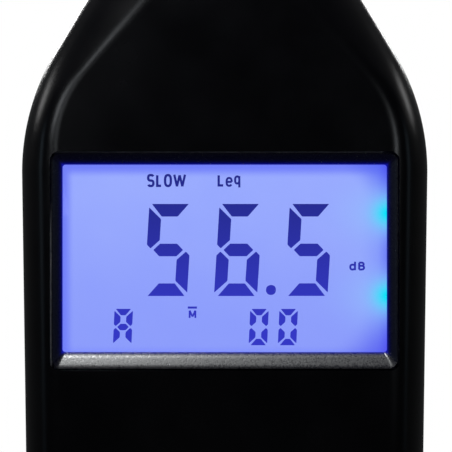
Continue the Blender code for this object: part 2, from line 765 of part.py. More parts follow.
def keypad_overlay():
    """Printed sheet let into the face round the keys."""
    low = (-OVERLAY_HALF_X, -FRONT_DEPTH, OVERLAY_Z[0])
    high = (OVERLAY_HALF_X, OVERLAY_FLOOR - GAP, OVERLAY_Z[1])
    sheet = block("keypad_overlay", low, high, GRAPHITE, corner=OVERLAY_CORNER)
    y_range = (-FRONT_DEPTH - OVERRUN, OVERLAY_FLOOR + GAP)
    for place in key_places():
        cut(sheet, key_block(f"{place[0]}_window", place, KEY_GAP, y_range, GRAPHITE))


# Electronics


def main_board():
    """Circuit board, wide in the body, with a tail up the shoulders and one to the base."""
    thick = (BOARD_FRONT, BOARD_REAR)
    low, high = BOARD_Z
    board = slab("main_board", BOARD_HALF, thick, (low, high), BOARD_GREEN)
    half, end = UPPER_TAIL
    upper = slab("board_upper", half, thick, (high - OVERRUN, end), BOARD_GREEN)
    half, end = LOWER_TAIL
    lower = slab("board_lower", half, thick, (end, low + OVERRUN), BOARD_GREEN)
    join(board, upper, lower)
    y_range = (BOARD_FRONT - OVERRUN, BOARD_REAR + OVERRUN)
    for i, place in enumerate(BOARD_SCREWS, 1):
        hole = rod_along_y(f"board_hole_{i}", BOARD_HOLE_R, place, y_range, BOARD_GREEN, sides=12)
        cut(board, hole)


def slab(name, half, y_range, z_range, colour):
    """A box across the middle plane, given by its half width, depth and height ranges."""
    return block(name, (-half, y_range[0], z_range[0]), (half, y_range[1], z_range[1]), colour)


def board_parts():
    """What is soldered to the rear of the board."""
    foot = BOARD_REAR + GAP
    top = foot + CHIP_HEIGHT
    block("microcontroller", (-14.0, foot, 86.0), (-2.0, top, 98.0), CHIP_BLACK)
    block("amplifier_chip", (1.5, foot, 125.0), (10.5, top, 131.0), CHIP_BLACK)
    block("crystal", (-13.5, foot, 75.7), (-2.5, foot + 3.5, 80.3), STEEL, corner=2.25, segments=4)
    for name, x in (("left", -20.0), ("right", 14.0)):
        y_range = (foot, foot + CAPACITOR_HEIGHT)
        rod_along_y(f"capacitor_{name}", CAPACITOR_R, (x, 80.0), y_range, CHIP_BLACK)
    trimmer(foot)
    jack(foot)


def trimmer(foot):
    """Calibration trimmer, with a slotted screw that turns behind a hole in the side."""
    low = (TRIMMER_X[0], foot, SIDE_PORT_Z - TRIMMER_HALF_Z)
    high = (TRIMMER_X[1], SIDE_PORT_Y + 1.8, SIDE_PORT_Z + TRIMMER_HALF_Z)
    block("cal_trimmer", low, high, TRIMMER_BLUE)
    at = (TRIMMER_SCREW_X[0], SIDE_PORT_Y, SIDE_PORT_Z)
    tip = (TRIMMER_SCREW_X[1], SIDE_PORT_Y, SIDE_PORT_Z)
    screw = rod("cal_trimmer_screw", TRIMMER_SCREW_R, at, tip, BRASS, at=at, sides=16)
    width, depth = TRIMMER_SLOT
    half_z = TRIMMER_SCREW_R + OVERRUN
    low = (tip[0] - depth, SIDE_PORT_Y - width / 2, SIDE_PORT_Z - half_z)
    high = (tip[0] + OVERRUN, SIDE_PORT_Y + width / 2, SIDE_PORT_Z + half_z)
    cut(screw, block("trimmer_slot", low, high, BRASS))


def jack(foot):
    """3.5 mm output jack, whose barrel reaches into the side of the casing."""
    barrel_end, body_front, body_back, bore_end = JACK_X
    low = (body_front, foot, SIDE_PORT_Z - JACK_HALF_Z)
    high = (body_back, SIDE_PORT_Y + JACK_R + GAP, SIDE_PORT_Z + JACK_HALF_Z)
    made = block("data_jack", low, high, CHIP_BLACK)
    start = (body_front + OVERRUN, SIDE_PORT_Y, SIDE_PORT_Z)
    end = (barrel_end, SIDE_PORT_Y, SIDE_PORT_Z)
    join(made, rod("jack_barrel", JACK_R, start, end, CHIP_BLACK))
    start = (bore_end, SIDE_PORT_Y, SIDE_PORT_Z)
    end = (barrel_end - OVERRUN, SIDE_PORT_Y, SIDE_PORT_Z)
    cut(made, rod("jack_bore", JACK_BORE, start, end, CHIP_BLACK, sides=16))


# Battery compartment


def column_x(column):
    """Where a cell's axis lies, for columns 0 to 3."""
    return (column - 1.5) * CELL_PITCH


def cells():
    """Four AAA cells side by side, turned alternately."""
    low = TRAY_LOW + GAP + PLATE
    high = TRAY_HIGH - GAP - PLATE
    tip = CELL_BODY + CELL_NUB
    nub_r = 1.9
    profile = [
        (0.0, tip), (nub_r, tip), (nub_r, CELL_BODY), (CELL_R, CELL_BODY), (CELL_R, 0.0), (0.0, 0.0)
    ]
    for i in range(4):
        upright = i % 2 == 0
        foot = low + SPRING_HEIGHT if upright else high - SPRING_HEIGHT
        towards = (0, 0, 1) if upright else (0, 0, -1)
        at = (column_x(i), CELL_Y, foot)
        turned(f"cell_{i + 1}", profile, CELL_JACKET, at, towards, steps=16)


def contact(name, columns, top, spring=None, tab=None):
    """Contact plate across the given cell columns, with a spring cone and a solder tab."""
    low_z = TRAY_HIGH - GAP - PLATE if top else TRAY_LOW + GAP
    xs = [column_x(column) for column in columns]
    low = (min(xs) - PLATE_SPAN, PLATE_DEPTH[0], low_z)
    high = (max(xs) + PLATE_SPAN, PLATE_DEPTH[1], low_z + PLATE)
    made = block(name, low, high, NICKEL)
    if spring is not None:
        reach = SPRING_HEIGHT - GAP
        start = low_z + (0.1 if top else PLATE - 0.1)
        end = low_z - reach if top else low_z + PLATE + reach
        x = column_x(spring)
        cone = rod(
            f"{name}_spring",
            SPRING_FOOT_R,
            (x, CELL_Y, start),
            (x, CELL_Y, end),
            NICKEL,
            sides=14,
            end_radius=SPRING_TOP_R,
        )
        join(made, cone)
    if tab is not None:
        x = column_x(tab)
        low = (x - TAB_HALF, PLATE_DEPTH[0] + 0.1, low_z + 0.1)
        high = (x + TAB_HALF, PLATE_DEPTH[0] + 0.5, TAB_TOP)
        join(made, block(f"{name}_tab", low, high, NICKEL))
    return made


def contacts():
    contact("contact_positive", (0,), top=True, tab=0)
    contact("contact_bridge_left", (0, 1), top=False, spring=0)
    contact("contact_bridge_top", (1, 2), top=True, spring=1)
    contact("contact_bridge_right", (2, 3), top=False, spring=2)
    contact("contact_negative", (3,), top=True, spring=3, tab=3)


def battery_leads():
    """Wires from the solder tabs to the board."""
    for name, side, colour in (("red", -1, RED_WIRE), ("black", 1, BLACK_WIRE)):
        x = side * CELL_PITCH * 1.5
        route = ((x, 1.3, 69.4), (x, 1.4, 71.2), (x - 0.8 * side, 0.9, 73.2), (x - side, -0.2, 74.4))
        wire(f"battery_lead_{name}", 0.5, route, colour)


# Microphone


def microphone():
    """Tube, capsule and grid on the z axis, with the sleeve and ring that hold it in the neck."""
    neck_rings()
    inner = TUBE_R - TUBE_WALL
    foot, top = TUBE_Z
    profile = [(TUBE_R, top), (TUBE_R, foot), (inner, foot), (inner, top)]
    turned("mic_tube", profile, STEEL, ring=True)
    capsule(top + 0.4, inner - GAP)
    mic_grid()
    slab("preamp_board", 4.3, (-0.5, 0.5), (176.0, 216.0), BOARD_GREEN)
    route = ((0, 0, 175.6), (0, 0.4, 169.0), (0, 1.2, 161.0), (0, 0.8, 154.0), (0, -0.3, 149.0))
    wire("mic_cable", 0.9, route, BLACK_WIRE)


def neck_rings():
    """Rubber sleeve in the neck and the steel ring that clamps it."""
    bore = TUBE_R + GAP
    sleeve_r, rim_r = GROMMET_R
    under = NECK_TOP + GAP
    over = under + RIM
    profile = [
        (rim_r, over), (rim_r, under), (sleeve_r, under), (sleeve_r, GROMMET_FOOT),
        (bore, GROMMET_FOOT), (bore, over),
    ]
    turned("neck_grommet", profile, RUBBER, ring=True)
    low = over + GAP
    top_r, foot_r = COLLAR_R
    shoulder, top = low + COLLAR_HEIGHT[0], low + COLLAR_HEIGHT[1]
    profile = [(top_r, top), (foot_r, shoulder), (foot_r, low), (bore, low), (bore, top)]
    turned("neck_collar", profile, STEEL, ring=True)


def capsule(foot, spigot_r):
    """Capsule with its spigot in the tube, insulator, backplate and diaphragm."""
    profile = [
        (0.0, CAPSULE_STEP), (CAPSULE_STEP_R, CAPSULE_STEP), (CAPSULE_STEP_R, CAPSULE_TOP),
        (CAPSULE_R, CAPSULE_TOP), (CAPSULE_R, foot), (spigot_r, foot),
        (spigot_r, foot - SPIGOT), (0.0, foot - SPIGOT),
    ]
    turned("mic_capsule", profile, NICKEL)
    profile = [(5.6, 228.7), (5.6, 226.3), (2.0, 226.3), (2.0, 228.7)]
    turned("mic_insulator", profile, WHITE_PLASTIC, ring=True, steps=20)
    rod("mic_backplate", 4.8, (0, 0, 229.0), (0, 0, 230.2), BRASS)
    rod("mic_diaphragm", 5.4, (0, 0, 230.5), (0, 0, 230.7), NICKEL)


def mic_grid():
    """Protection grid: a cap with six radial slots in its roof."""
    under = MIC_TOP - GRID_ROOF
    foot = CAPSULE_TOP + GAP
    profile = [
        (0.0, MIC_TOP), (CAPSULE_R - GRID_ROOF, MIC_TOP), (CAPSULE_R, under), (CAPSULE_R, foot),
        (CAPSULE_STEP_R, foot), (CAPSULE_STEP_R, under), (0.0, under),
    ]
    grid = turned("mic_grid", profile, NICKEL)
    low, high = (1.6, -0.5, MIC_TOP - 2.0), (5.0, 0.5, MIC_TOP + OVERRUN)
    for i in range(6):
        slot = block(f"grid_slot_{i + 1}", low, high, NICKEL)
        slot.rotation_euler.z = math.radians(60.0) * i
        cut(grid, slot)


# Fasteners


def screw(name, place, head, shaft, tip):
    """A turned screw along Y. `head` is its radius, underside and top; `shaft` its radius and
    end; `tip` the radius and end of its point."""
    head_r, under, top = head
    shaft_r, shaft_end = shaft
    tip_r, tip_end = tip
    profile = [
        (0.0, top), (head_r, top), (head_r, under), (shaft_r, under), (shaft_r, shaft_end),
    ]
    if tip_r:
        profile.append((tip_r, tip_end))
    profile.append((0.0, tip_end))
    x, z = place
    turned(name, profile, STEEL, (x, 0.0, z), (0, 1, 0), steps=12)


def fasteners():
    """Screws through the rear of the casing and of the board, and the tripod thread's insert."""
    for i, place in enumerate(CASE_SCREWS, 1):
        screw(f"case_screw_{i}", place, (2.3, COUNTERBORE_Y + GAP, 11.4), (1.1, -6.5), (0.4, -7.4))
    under = BOARD_REAR + GAP
    for i, place in enumerate(BOARD_SCREWS, 1):
        screw(f"board_screw_{i}", place, (2.0, under, under + 1.0), (0.9, -7.0), (0.0, -7.6))
    outer, bore = TRIPOD_INSERT_R, TRIPOD_BORE
    low = TRIPOD_INSERT_Y
    profile = [(outer, REAR_DEPTH), (outer, low), (bore, low), (bore, REAR_DEPTH)]
    turned("tripod_insert", profile, BRASS, (0.0, 0.0, TRIPOD_Z), (0, 1, 0), ring=True)


front_case()
rear_case()
battery_door()
display_bezel()
display_stack()
keys()
key_mat()
keypad_overlay()
main_board()
board_parts()
cells()
contacts()
battery_leads()
microphone()
fasteners()
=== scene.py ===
"""Looks of a handheld sound level meter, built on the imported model.

Pieces are modelled in millimetres, in the model's frame: +Z up to the microphone, the display
facing -Y, the origin in the middle of the base. finish_piece() turns them into metres.
"""

import json
import math

import bmesh
import bpy
from mathutils import Matrix, Vector


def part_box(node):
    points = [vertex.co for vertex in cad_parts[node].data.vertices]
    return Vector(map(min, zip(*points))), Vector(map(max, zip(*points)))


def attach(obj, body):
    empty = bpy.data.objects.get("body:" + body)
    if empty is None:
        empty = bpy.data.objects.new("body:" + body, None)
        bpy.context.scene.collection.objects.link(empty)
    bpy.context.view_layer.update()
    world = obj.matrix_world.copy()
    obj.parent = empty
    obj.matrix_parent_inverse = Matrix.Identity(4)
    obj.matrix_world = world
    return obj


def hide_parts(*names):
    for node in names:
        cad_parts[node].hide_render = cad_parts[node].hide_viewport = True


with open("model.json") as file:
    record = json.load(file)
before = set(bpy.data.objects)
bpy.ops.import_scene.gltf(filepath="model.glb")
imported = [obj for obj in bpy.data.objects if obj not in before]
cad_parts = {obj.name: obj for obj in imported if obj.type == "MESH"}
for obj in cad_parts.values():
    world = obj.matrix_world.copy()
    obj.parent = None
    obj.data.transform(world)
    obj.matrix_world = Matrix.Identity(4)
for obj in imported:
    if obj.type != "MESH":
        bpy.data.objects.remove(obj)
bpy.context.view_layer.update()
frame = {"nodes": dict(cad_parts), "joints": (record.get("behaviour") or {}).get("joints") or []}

MM = 0.001
CASING = "casing"


def limits(node):
    """Lowest and highest corner of a node, in millimetres."""
    low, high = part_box(node)
    return low / MM, high / MM


def middle(node):
    """The middle of a node's box, in millimetres."""
    low, high = limits(node)
    return (low + high) / 2


# Casing sizes: what the frame gives, and the curves that its outline follows

FRONT_LOW, FRONT_HIGH = limits("front_case")
SHOULDER_HALF = FRONT_HIGH.x
FRONT_DEPTH = -FRONT_LOW.y
REAR_DEPTH = limits("rear_case")[1].y
NECK_TOP = FRONT_HIGH.z
PARTING_GAP = -2 * FRONT_HIGH.y
SHOULDER_Z = 131.5
BODY_TAPER = 0.0145
SHOULDER_R = 36.0
FLANK = math.radians(31.0)
NECK_HALF = 10.0
NECK_R = 36.0
BASE_R = 4.0
WALL = 2.0
SIDE_WALL_FRONT = 5.0
SIDE_WALL_REAR = 5.5
NECK_SIDE_WALL = 0.6
NECK_FLAT = 0.8
SIDE_BAND = 4.2
REAR_CORNER = 7.0
RIDGE_TURN = math.radians(60.0)
RIDGE_R = 1.5  # rounding of the ridge, which the plain CAD surface leaves sharp
THIN_FROM_Z = 146.0
ARCH_Z = 135.0
ARCH_R = 18.0
ARCH_LEAN = math.radians(42.0)
ARCH_TIP_R = 9.0
ARCH_FADE = 13.0

# Display
WINDOW = middle("window_lens")
BEZEL_LOW, BEZEL_HIGH = limits("display_bezel")
BEZEL_HALF = (BEZEL_HIGH.x, 16.8)
BEZEL_DROP = 0.38  # how far the outside of the bezel sits below the middle of its window
WINDOW_HALF = (25.27, 14.62)
BEZEL_LIP = -10.2
PAINTED_GLOW_REACH = 0.16  # how fast the painted glow, the display's blue light painted on the bezel as emission, fades, in millimetres
# least strength of the painted glow on the bezel's slopes
PAINTED_GLOW_FLOOR = 0.010
LAMP_HEIGHTS = [middle(f"backlight_led_{name}").z - WINDOW.z for name in ("upper", "lower")]


# Shapes: each function returns a closed bmesh in millimetres


def ring_faces(shape, near, far, closed=True):
    """Quads between two rows of vertices."""
    count = len(near)
    for i in range(count if closed else count - 1):
        j = (i + 1) % count
        shape.faces.new((near[i], near[j], far[j], far[i]))


def rounded_ring(half_x, half_z, corner, segments):
    """Points round a rectangle with round corners."""
    corner = max(min(corner, half_x - 0.001, half_z - 0.001), 0.001)
    points = []
    for quarter, (sign_x, sign_z) in enumerate(((1, 1), (-1, 1), (-1, -1), (1, -1))):
        for i in range(segments + 1):
            angle = math.pi / 2 * (quarter + i / segments)
            x = sign_x * (half_x - corner) + corner * math.cos(angle)
            z = sign_z * (half_z - corner) + corner * math.sin(angle)
            points.append((x, z))
    return points


def stack(levels, centre=(0.0, 0.0), segments=8, closed=False):
    """A solid lofted along Y through rounded rectangles, each (half_x, half_z, corner, y).
    A closed stack joins its last level to its first, which makes a frame."""
    shape = bmesh.new()
    rows = []
    for half_x, half_z, corner, y in levels:
        outline = rounded_ring(half_x, half_z, corner, segments)
        rows.append([shape.verts.new((centre[0] + x, y, centre[1] + z)) for x, z in outline])
    for near, far in zip(rows, rows[1:]):
        ring_faces(shape, near, far)
    if closed:
        ring_faces(shape, rows[-1], rows[0])
    else:
        shape.faces.new(rows[0])
        shape.faces.new(rows[-1])
    return outward(shape)


def outward(shape):
    """The shape with all its faces turned outward."""
    bmesh.ops.recalc_face_normals(shape, faces=shape.faces)
    return shape


def slab(low, high, corner=0.3, edge=0.0, segments=4):
    """A box with its corners rounded along Y, and its front and rear edges by `edge`."""
    half_x, half_z = (high[0] - low[0]) / 2, (high[2] - low[2]) / 2
    centre = ((high[0] + low[0]) / 2, (high[2] + low[2]) / 2)
    levels = []
    if edge:
        for y, side in ((low[1], 1), (high[1], -1)):
            rounding = []
            for i in range(4):
                angle = math.pi / 6 * i
                inset = edge * (1 - math.sin(angle))
                depth = edge * (1 - math.cos(angle))
                rounding.append((half_x - inset, half_z - inset, corner, y + side * depth))
            levels += rounding if side > 0 else rounding[::-1]
    else:
        levels = [(half_x, half_z, corner, low[1]), (half_x, half_z, corner, high[1])]
    return stack(levels, centre, segments)


def rod(radius, start, end, sides=32, end_radius=None):
    """A cylinder, or a cone with `end_radius`, from one point to another."""
    start, end = Vector(start), Vector(end)
    shape = bmesh.new()
    bmesh.ops.create_cone(
        shape,
        cap_ends=True,
        segments=sides,
        radius1=radius,
        radius2=radius if end_radius is None else end_radius,
        depth=(end - start).length,
    )
    turn = Vector((0, 0, 1)).rotation_difference(end - start).to_matrix()
    bmesh.ops.rotate(shape, matrix=turn, verts=shape.verts)
    bmesh.ops.translate(shape, vec=(start + end) / 2, verts=shape.verts)
    return shape


def softened(profile, radius, steps=3, closed=False):
    """The profile with its corners rounded, where the lines beside a corner have room."""
    points = [Vector(p) for p in profile]
    count = len(points)
    made = []
    for i, point in enumerate(points):
        if not closed and i in (0, count - 1):
            made.append(point)
            continue
        before, after = points[i - 1] - point, points[(i + 1) % count] - point
        reach = min(radius, before.length * 0.45, after.length * 0.45)
        start, end = point + before.normalized() * reach, point + after.normalized() * reach
        for step in range(steps + 1):
            t = step / steps
            made.append(start * (1 - t) ** 2 + point * 2 * t * (1 - t) + end * t**2)
    return [tuple(p) for p in made]


def lathe(profile, at=(0.0, 0.0, 0.0), towards=(0, 0, 1), steps=64, closed=False, shift=None):
    """A turned solid from (radius, height) points, heights running `towards` from `at`.
    An open profile starts and ends on the axis. `shift(radius, height, angle)` may change a
    radius, for threads and knurls."""
    shape = bmesh.new()
    turn = Vector((0, 0, 1)).rotation_difference(Vector(towards)).to_matrix()
    rows = []
    for radius, height in profile:
        if radius < 1e-6:
            rows.append([shape.verts.new(Vector(at) + turn @ Vector((0, 0, height)))])
            continue
        row = []
        for i in range(steps):
            angle = 2 * math.pi * i / steps
            r = shift(radius, height, angle) if shift else radius
            point = Vector((r * math.cos(angle), r * math.sin(angle), height))
            row.append(shape.verts.new(Vector(at) + turn @ point))
        rows.append(row)
    pairs = list(zip(rows, rows[1:]))
    if closed:
        pairs.append((rows[-1], rows[0]))
    for near, far in pairs:
        if len(near) == 1 or len(far) == 1:
            tip, row = (near[0], far) if len(near) == 1 else (far[0], near)
            for i in range(steps):
                shape.faces.new((tip, row[i], row[(i + 1) % steps]))
        else:
            ring_faces(shape, near, far)
    return outward(shape)


def tube(points, radius, sides=10):
    """A round bar through the points, with flat ends."""
    points = [Vector(p) for p in points]
    shape = bmesh.new()
    normal = None
    rows = []
    for i, point in enumerate(points):
        ahead = points[min(i + 1, len(points) - 1)] - points[max(i - 1, 0)]
        ahead.normalize()
        if normal is None:
            normal = ahead.orthogonal().normalized()
        normal = (normal - ahead * normal.dot(ahead)).normalized()
        side = ahead.cross(normal)
        row = []
        for j in range(sides):
            angle = 2 * math.pi * j / sides
            way = normal * math.cos(angle) + side * math.sin(angle)
            row.append(shape.verts.new(point + radius * way))
        rows.append(row)
    for near, far in zip(rows, rows[1:]):
        ring_faces(shape, near, far)
    shape.faces.new(rows[0])
    shape.faces.new(rows[-1])
    return outward(shape)


def prism(outline, y_low, y_high):
    """A flat plate with the (x, z) outline, between two depths."""
    shape = bmesh.new()
    near = [shape.verts.new((x, y_low, z)) for x, z in outline]
    far = [shape.verts.new((x, y_high, z)) for x, z in outline]
    ring_faces(shape, near, far)
    shape.faces.new(near)
    shape.faces.new(far)
    return outward(shape)


def merged(shapes):
    """Several solids as one bmesh."""
    one = bmesh.new()
    for shape in shapes:
        mesh = bpy.data.meshes.new("part")
        shape.to_mesh(mesh)
        shape.free()
        one.from_mesh(mesh)
        bpy.data.meshes.remove(mesh)
    return one


# Objects


def solid(name, shape):
    """The bmesh as an object, still in millimetres."""
    mesh = bpy.data.meshes.new(name)
    shape.to_mesh(mesh)
    shape.free()
    obj = bpy.data.objects.new(name, mesh)
    bpy.context.scene.collection.objects.link(obj)
    return obj


def apply_modifiers(obj):
    """Writes the object's modifiers into its mesh."""
    bpy.context.view_layer.update()
    graph = bpy.context.evaluated_depsgraph_get()
    mesh = bpy.data.meshes.new_from_object(obj.evaluated_get(graph))
    old = obj.data
    obj.modifiers.clear()
    obj.data = mesh
    bpy.data.meshes.remove(old)
    return obj


def combine(obj, operation, shapes):
    """Joins the solids to the object ("UNION") or cuts them from it ("DIFFERENCE")."""
    other = solid("tool", merged(shapes))
    modifier = obj.modifiers.new("combine", "BOOLEAN")
    modifier.operation = operation
    modifier.object = other
    modifier.solver = "EXACT"
    apply_modifiers(obj)
    mesh = other.data
    bpy.data.objects.remove(other)
    bpy.data.meshes.remove(mesh)
    return obj


def finish_piece(obj, material, body=CASING, replaces=(), sharp=35.0, weighted=False):
    """Scales the piece to metres, shades it, and gives it its material and body."""
    obj.data.transform(Matrix.Scale(MM, 4))
    obj.data.shade_smooth()
    obj.data.set_sharp_from_angle(angle=math.radians(sharp))
    if weighted:
        modifier = obj.modifiers.new("normals", "WEIGHTED_NORMAL")
        modifier.keep_sharp = True
        apply_modifiers(obj)
    obj.data.materials.clear()
    for made in material if isinstance(material, (list, tuple)) else (material,):
        obj.data.materials.append(made)
    if replaces:
        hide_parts(*replaces)
    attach(obj, body)
    return obj


# Materials


NO_LIGHT = (0.0, 0.0, 0.0, 1.0)


def linear(red, green, blue):
    """A colour given as 0 to 255 sRGB, as the linear values that shaders take."""
    values = []
    for level in (red, green, blue):
        share = level / 255
        values.append(share / 12.92 if share <= 0.04045 else ((share + 0.055) / 1.055) ** 2.4)
    return (*values, 1.0)


class Nodes:
    """Short calls for building one material's nodes."""

    def __init__(self, name):
        self.material = bpy.data.materials.new(name)
        self.material.use_nodes = True
        self.tree = self.material.node_tree
        self.shader = self.tree.nodes["Principled BSDF"]
        self.place = self.add("ShaderNodeTexCoord").outputs["Object"]

    def add(self, kind, **settings):
        """A new node with its properties set."""
        node = self.tree.nodes.new(kind)
        for key, value in settings.items():
            setattr(node, key, value)
        return node

    def put(self, target, value):
        """Connects a socket, or sets a plain value."""
        if isinstance(value, bpy.types.NodeSocket):
            self.tree.links.new(value, target)
        else:
            target.default_value = value

    def stretched(self, scale):
        """Object coordinates scaled along each axis."""
        node = self.add("ShaderNodeMapping")
        self.put(node.inputs["Vector"], self.place)
        self.put(node.inputs["Scale"], scale)
        return node.outputs["Vector"]

    def millimetres(self):
        """Object coordinates along X, Y and Z, in millimetres."""
        axes = self.add("ShaderNodeSeparateXYZ")
        self.put(axes.inputs[0], self.place)
        return [self.times(axes.outputs[axis], 1 / MM) for axis in "XYZ"]

    def noise(self, size_mm, detail=2.0, roughness=0.5, place=None):
        """Noise whose features are about size_mm across."""
        node = self.add("ShaderNodeTexNoise")
        self.put(node.inputs["Vector"], place or self.place)
        self.put(node.inputs["Scale"], 1 / (size_mm * MM))
        self.put(node.inputs["Detail"], detail)
        self.put(node.inputs["Roughness"], roughness)
        return node.outputs["Fac"]

    def spread(self, value, from_low, from_high, to_low, to_high, easing="LINEAR"):
        """The value taken from one span to another, and held at its ends."""
        node = self.add("ShaderNodeMapRange", interpolation_type=easing)
        for socket, number in zip(node.inputs, (value, from_low, from_high, to_low, to_high)):
            self.put(socket, number)
        return node.outputs["Result"]

    def smooth(self, value, from_low, from_high):
        """0 to 1 between two values, easing at both ends."""
        return self.spread(value, from_low, from_high, 0.0, 1.0, "SMOOTHSTEP")

    def math(self, operation, first, second=0.0):
        """The result of one calculation."""
        node = self.add("ShaderNodeMath", operation=operation)
        self.put(node.inputs[0], first)
        self.put(node.inputs[1], second)
        return node.outputs[0]

    def plus(self, first, second):
        return self.math("ADD", first, second)

    def minus(self, first, second):
        return self.math("SUBTRACT", first, second)

    def times(self, first, second):
        return self.math("MULTIPLY", first, second)

    def fading(self, distance, reach):
        """1 at no distance, and ever less further out."""
        return self.math("EXPONENT", self.math("DIVIDE", distance, -reach))

    def mix(self, share, first, second):
        """Colour between first and second."""
        node = self.add("ShaderNodeMix", data_type="RGBA")
        self.put(node.inputs["Factor"], share)
        self.put(node.inputs["A"], first)
        self.put(node.inputs["B"], second)
        return node.outputs["Result"]

    def bump(self, height, depth_mm):
        """A normal that follows the height."""
        node = self.add("ShaderNodeBump")
        self.put(node.inputs["Height"], height)
        self.put(node.inputs["Distance"], depth_mm * MM)
        return node.outputs["Normal"]

    def set(self, **values):
        """Sets sockets of the Principled shader, with _ for spaces in their names."""
        for key, value in values.items():
            self.put(self.shader.inputs[key.replace("_", " ")], value)
        return self


def tinted(colour, factor=1.0, lift=0.0):
    """The colour times a factor, as RGBA."""
    return (*(min(level * factor + lift, 1.0) for level in colour), 1.0)


def moulded_nodes(name, colour, roughness, grain=0.28, depth=0.02, vary=0.25, specular=0.5):
    """Moulded plastic: a fine spark-eroded grain, and slight handling marks in its gloss."""
    made = Nodes(name)
    patches = made.noise(9.0, detail=4.0)
    fine = made.noise(grain, detail=3.0, roughness=0.65)
    pores = made.noise(grain * 0.45, detail=1.0)
    tint = made.spread(made.plus(patches, fine), 0.7, 1.3, 0.0, 1.0)
    return made.set(
        Base_Color=made.mix(tint, tinted(colour, 1 - vary), tinted(colour, 1 + vary)),
        Roughness=made.spread(patches, 0.3, 0.7, roughness - 0.02, roughness + 0.03),
        Normal=made.bump(made.plus(fine, made.times(pores, 0.4)), depth),
        Specular_IOR_Level=specular,
    )


def moulded(*args, **settings):
    """The material of moulded_nodes()."""
    return moulded_nodes(*args, **settings).material


def bezel_plastic_painted_glow():
    """Coarser moulded plastic, with painted light: blue emission on its slopes stands in for the light
    that the display throws there.
    """
    made = moulded_nodes("bezel_abs", (0.0014, 0.0015, 0.0019), 0.25, grain=0.36, specular=0.42)
    sparkle = made.noise(0.30, detail=1.0)
    made.set(Roughness=made.spread(sparkle, 0.34, 0.66, 0.25, 0.36), Normal=made.bump(sparkle, 0.007))
    x, y, z = made.millimetres()
    outside = []
    for along, centre, half in ((x, 0.0, WINDOW_HALF[0]), (z, WINDOW.z, WINDOW_HALF[1])):
        offset = made.math("ABSOLUTE", made.minus(along, centre))
        outside.append(made.minus(offset, half))
    distance = made.math("MAXIMUM", made.math("MAXIMUM", *outside), 0.0)
    # Painted light: emission on the bezel that fades away from the window, in place of the display's
    # light falling on the slopes.
    glow = made.plus(made.fading(distance, PAINTED_GLOW_REACH), PAINTED_GLOW_FLOOR)
    sloped = made.smooth(y, BEZEL_LOW.y + 0.02, BEZEL_LOW.y + 0.3)
    blue = made.mix(made.times(glow, sloped), NO_LIGHT, (0.004, 0.006, 0.32, 1.0))
    return made.set(Emission_Color=blue, Emission_Strength=1.0).material


def metal(name, colour, roughness, marks=(0.05, 0.05, 1.0), mark_size=0.12, depth=0.002):
    """Turned or plated metal with fine tool marks, stretched along one axis."""
    made = Nodes(name)
    lines = made.noise(mark_size, detail=3.0, place=made.stretched(marks))
    stains = made.noise(6.0, detail=3.0)
    tint = made.spread(stains, 0.35, 0.65, 0.0, 1.0)
    return made.set(
        Base_Color=made.mix(tint, tinted(colour, 0.88), tinted(colour)),
        Roughness=made.spread(made.plus(lines, stains), 0.7, 1.3, roughness - 0.06, roughness + 0.1),
        Normal=made.bump(lines, depth),
        Metallic=1.0,
    ).material


def soft_rubber(name, colour, roughness=0.7):
    """Matt rubber with a fine skin and some paler dust."""
    made = Nodes(name)
    dust = made.noise(5.0, detail=5.0)
    share = made.spread(dust, 0.45, 0.75, 0.0, 0.7)
    return made.set(
        Base_Color=made.mix(share, tinted(colour), tinted(colour, 1.8, 0.004)),
        Roughness=made.spread(dust, 0.3, 0.7, roughness - 0.08, roughness + 0.08),
        Normal=made.bump(made.noise(0.18, detail=3.0), 0.012),
    ).material


def circuit_board():
    """Green solder mask with paler copper tracks and pads under it."""
    made = Nodes("circuit_board")
    tracks = made.add("ShaderNodeTexBrick")
    made.put(tracks.inputs["Vector"], made.stretched((500.0, 500.0, 500.0)))
    made.put(tracks.inputs["Scale"], 0.9)
    made.put(tracks.inputs["Mortar Size"], 0.06)
    mottle = made.noise(1.2, detail=3.0)
    mask = made.mix(mottle, (0.006, 0.07, 0.025, 1.0), (0.012, 0.11, 0.04, 1.0))
    return made.set(
        Base_Color=made.mix(tracks.outputs["Fac"], mask, (0.03, 0.2, 0.08, 1.0)),
        Roughness=made.spread(mottle, 0.3, 0.7, 0.28, 0.4),
        Normal=made.bump(tracks.outputs["Fac"], 0.03),
    ).material


def clear_window():
    """Polished acrylic with the faintest wipe marks."""
    made = Nodes("clear_window")
    wipes = made.noise(6.0, detail=4.0, place=made.stretched((0.4, 1.0, 1.6)))
    return made.set(
        Base_Color=(0.98, 0.985, 1.0, 1.0),
        Roughness=made.spread(wipes, 0.4, 0.8, 0.01, 0.05),
        Transmission_Weight=1.0,
        IOR=1.3,
    ).material


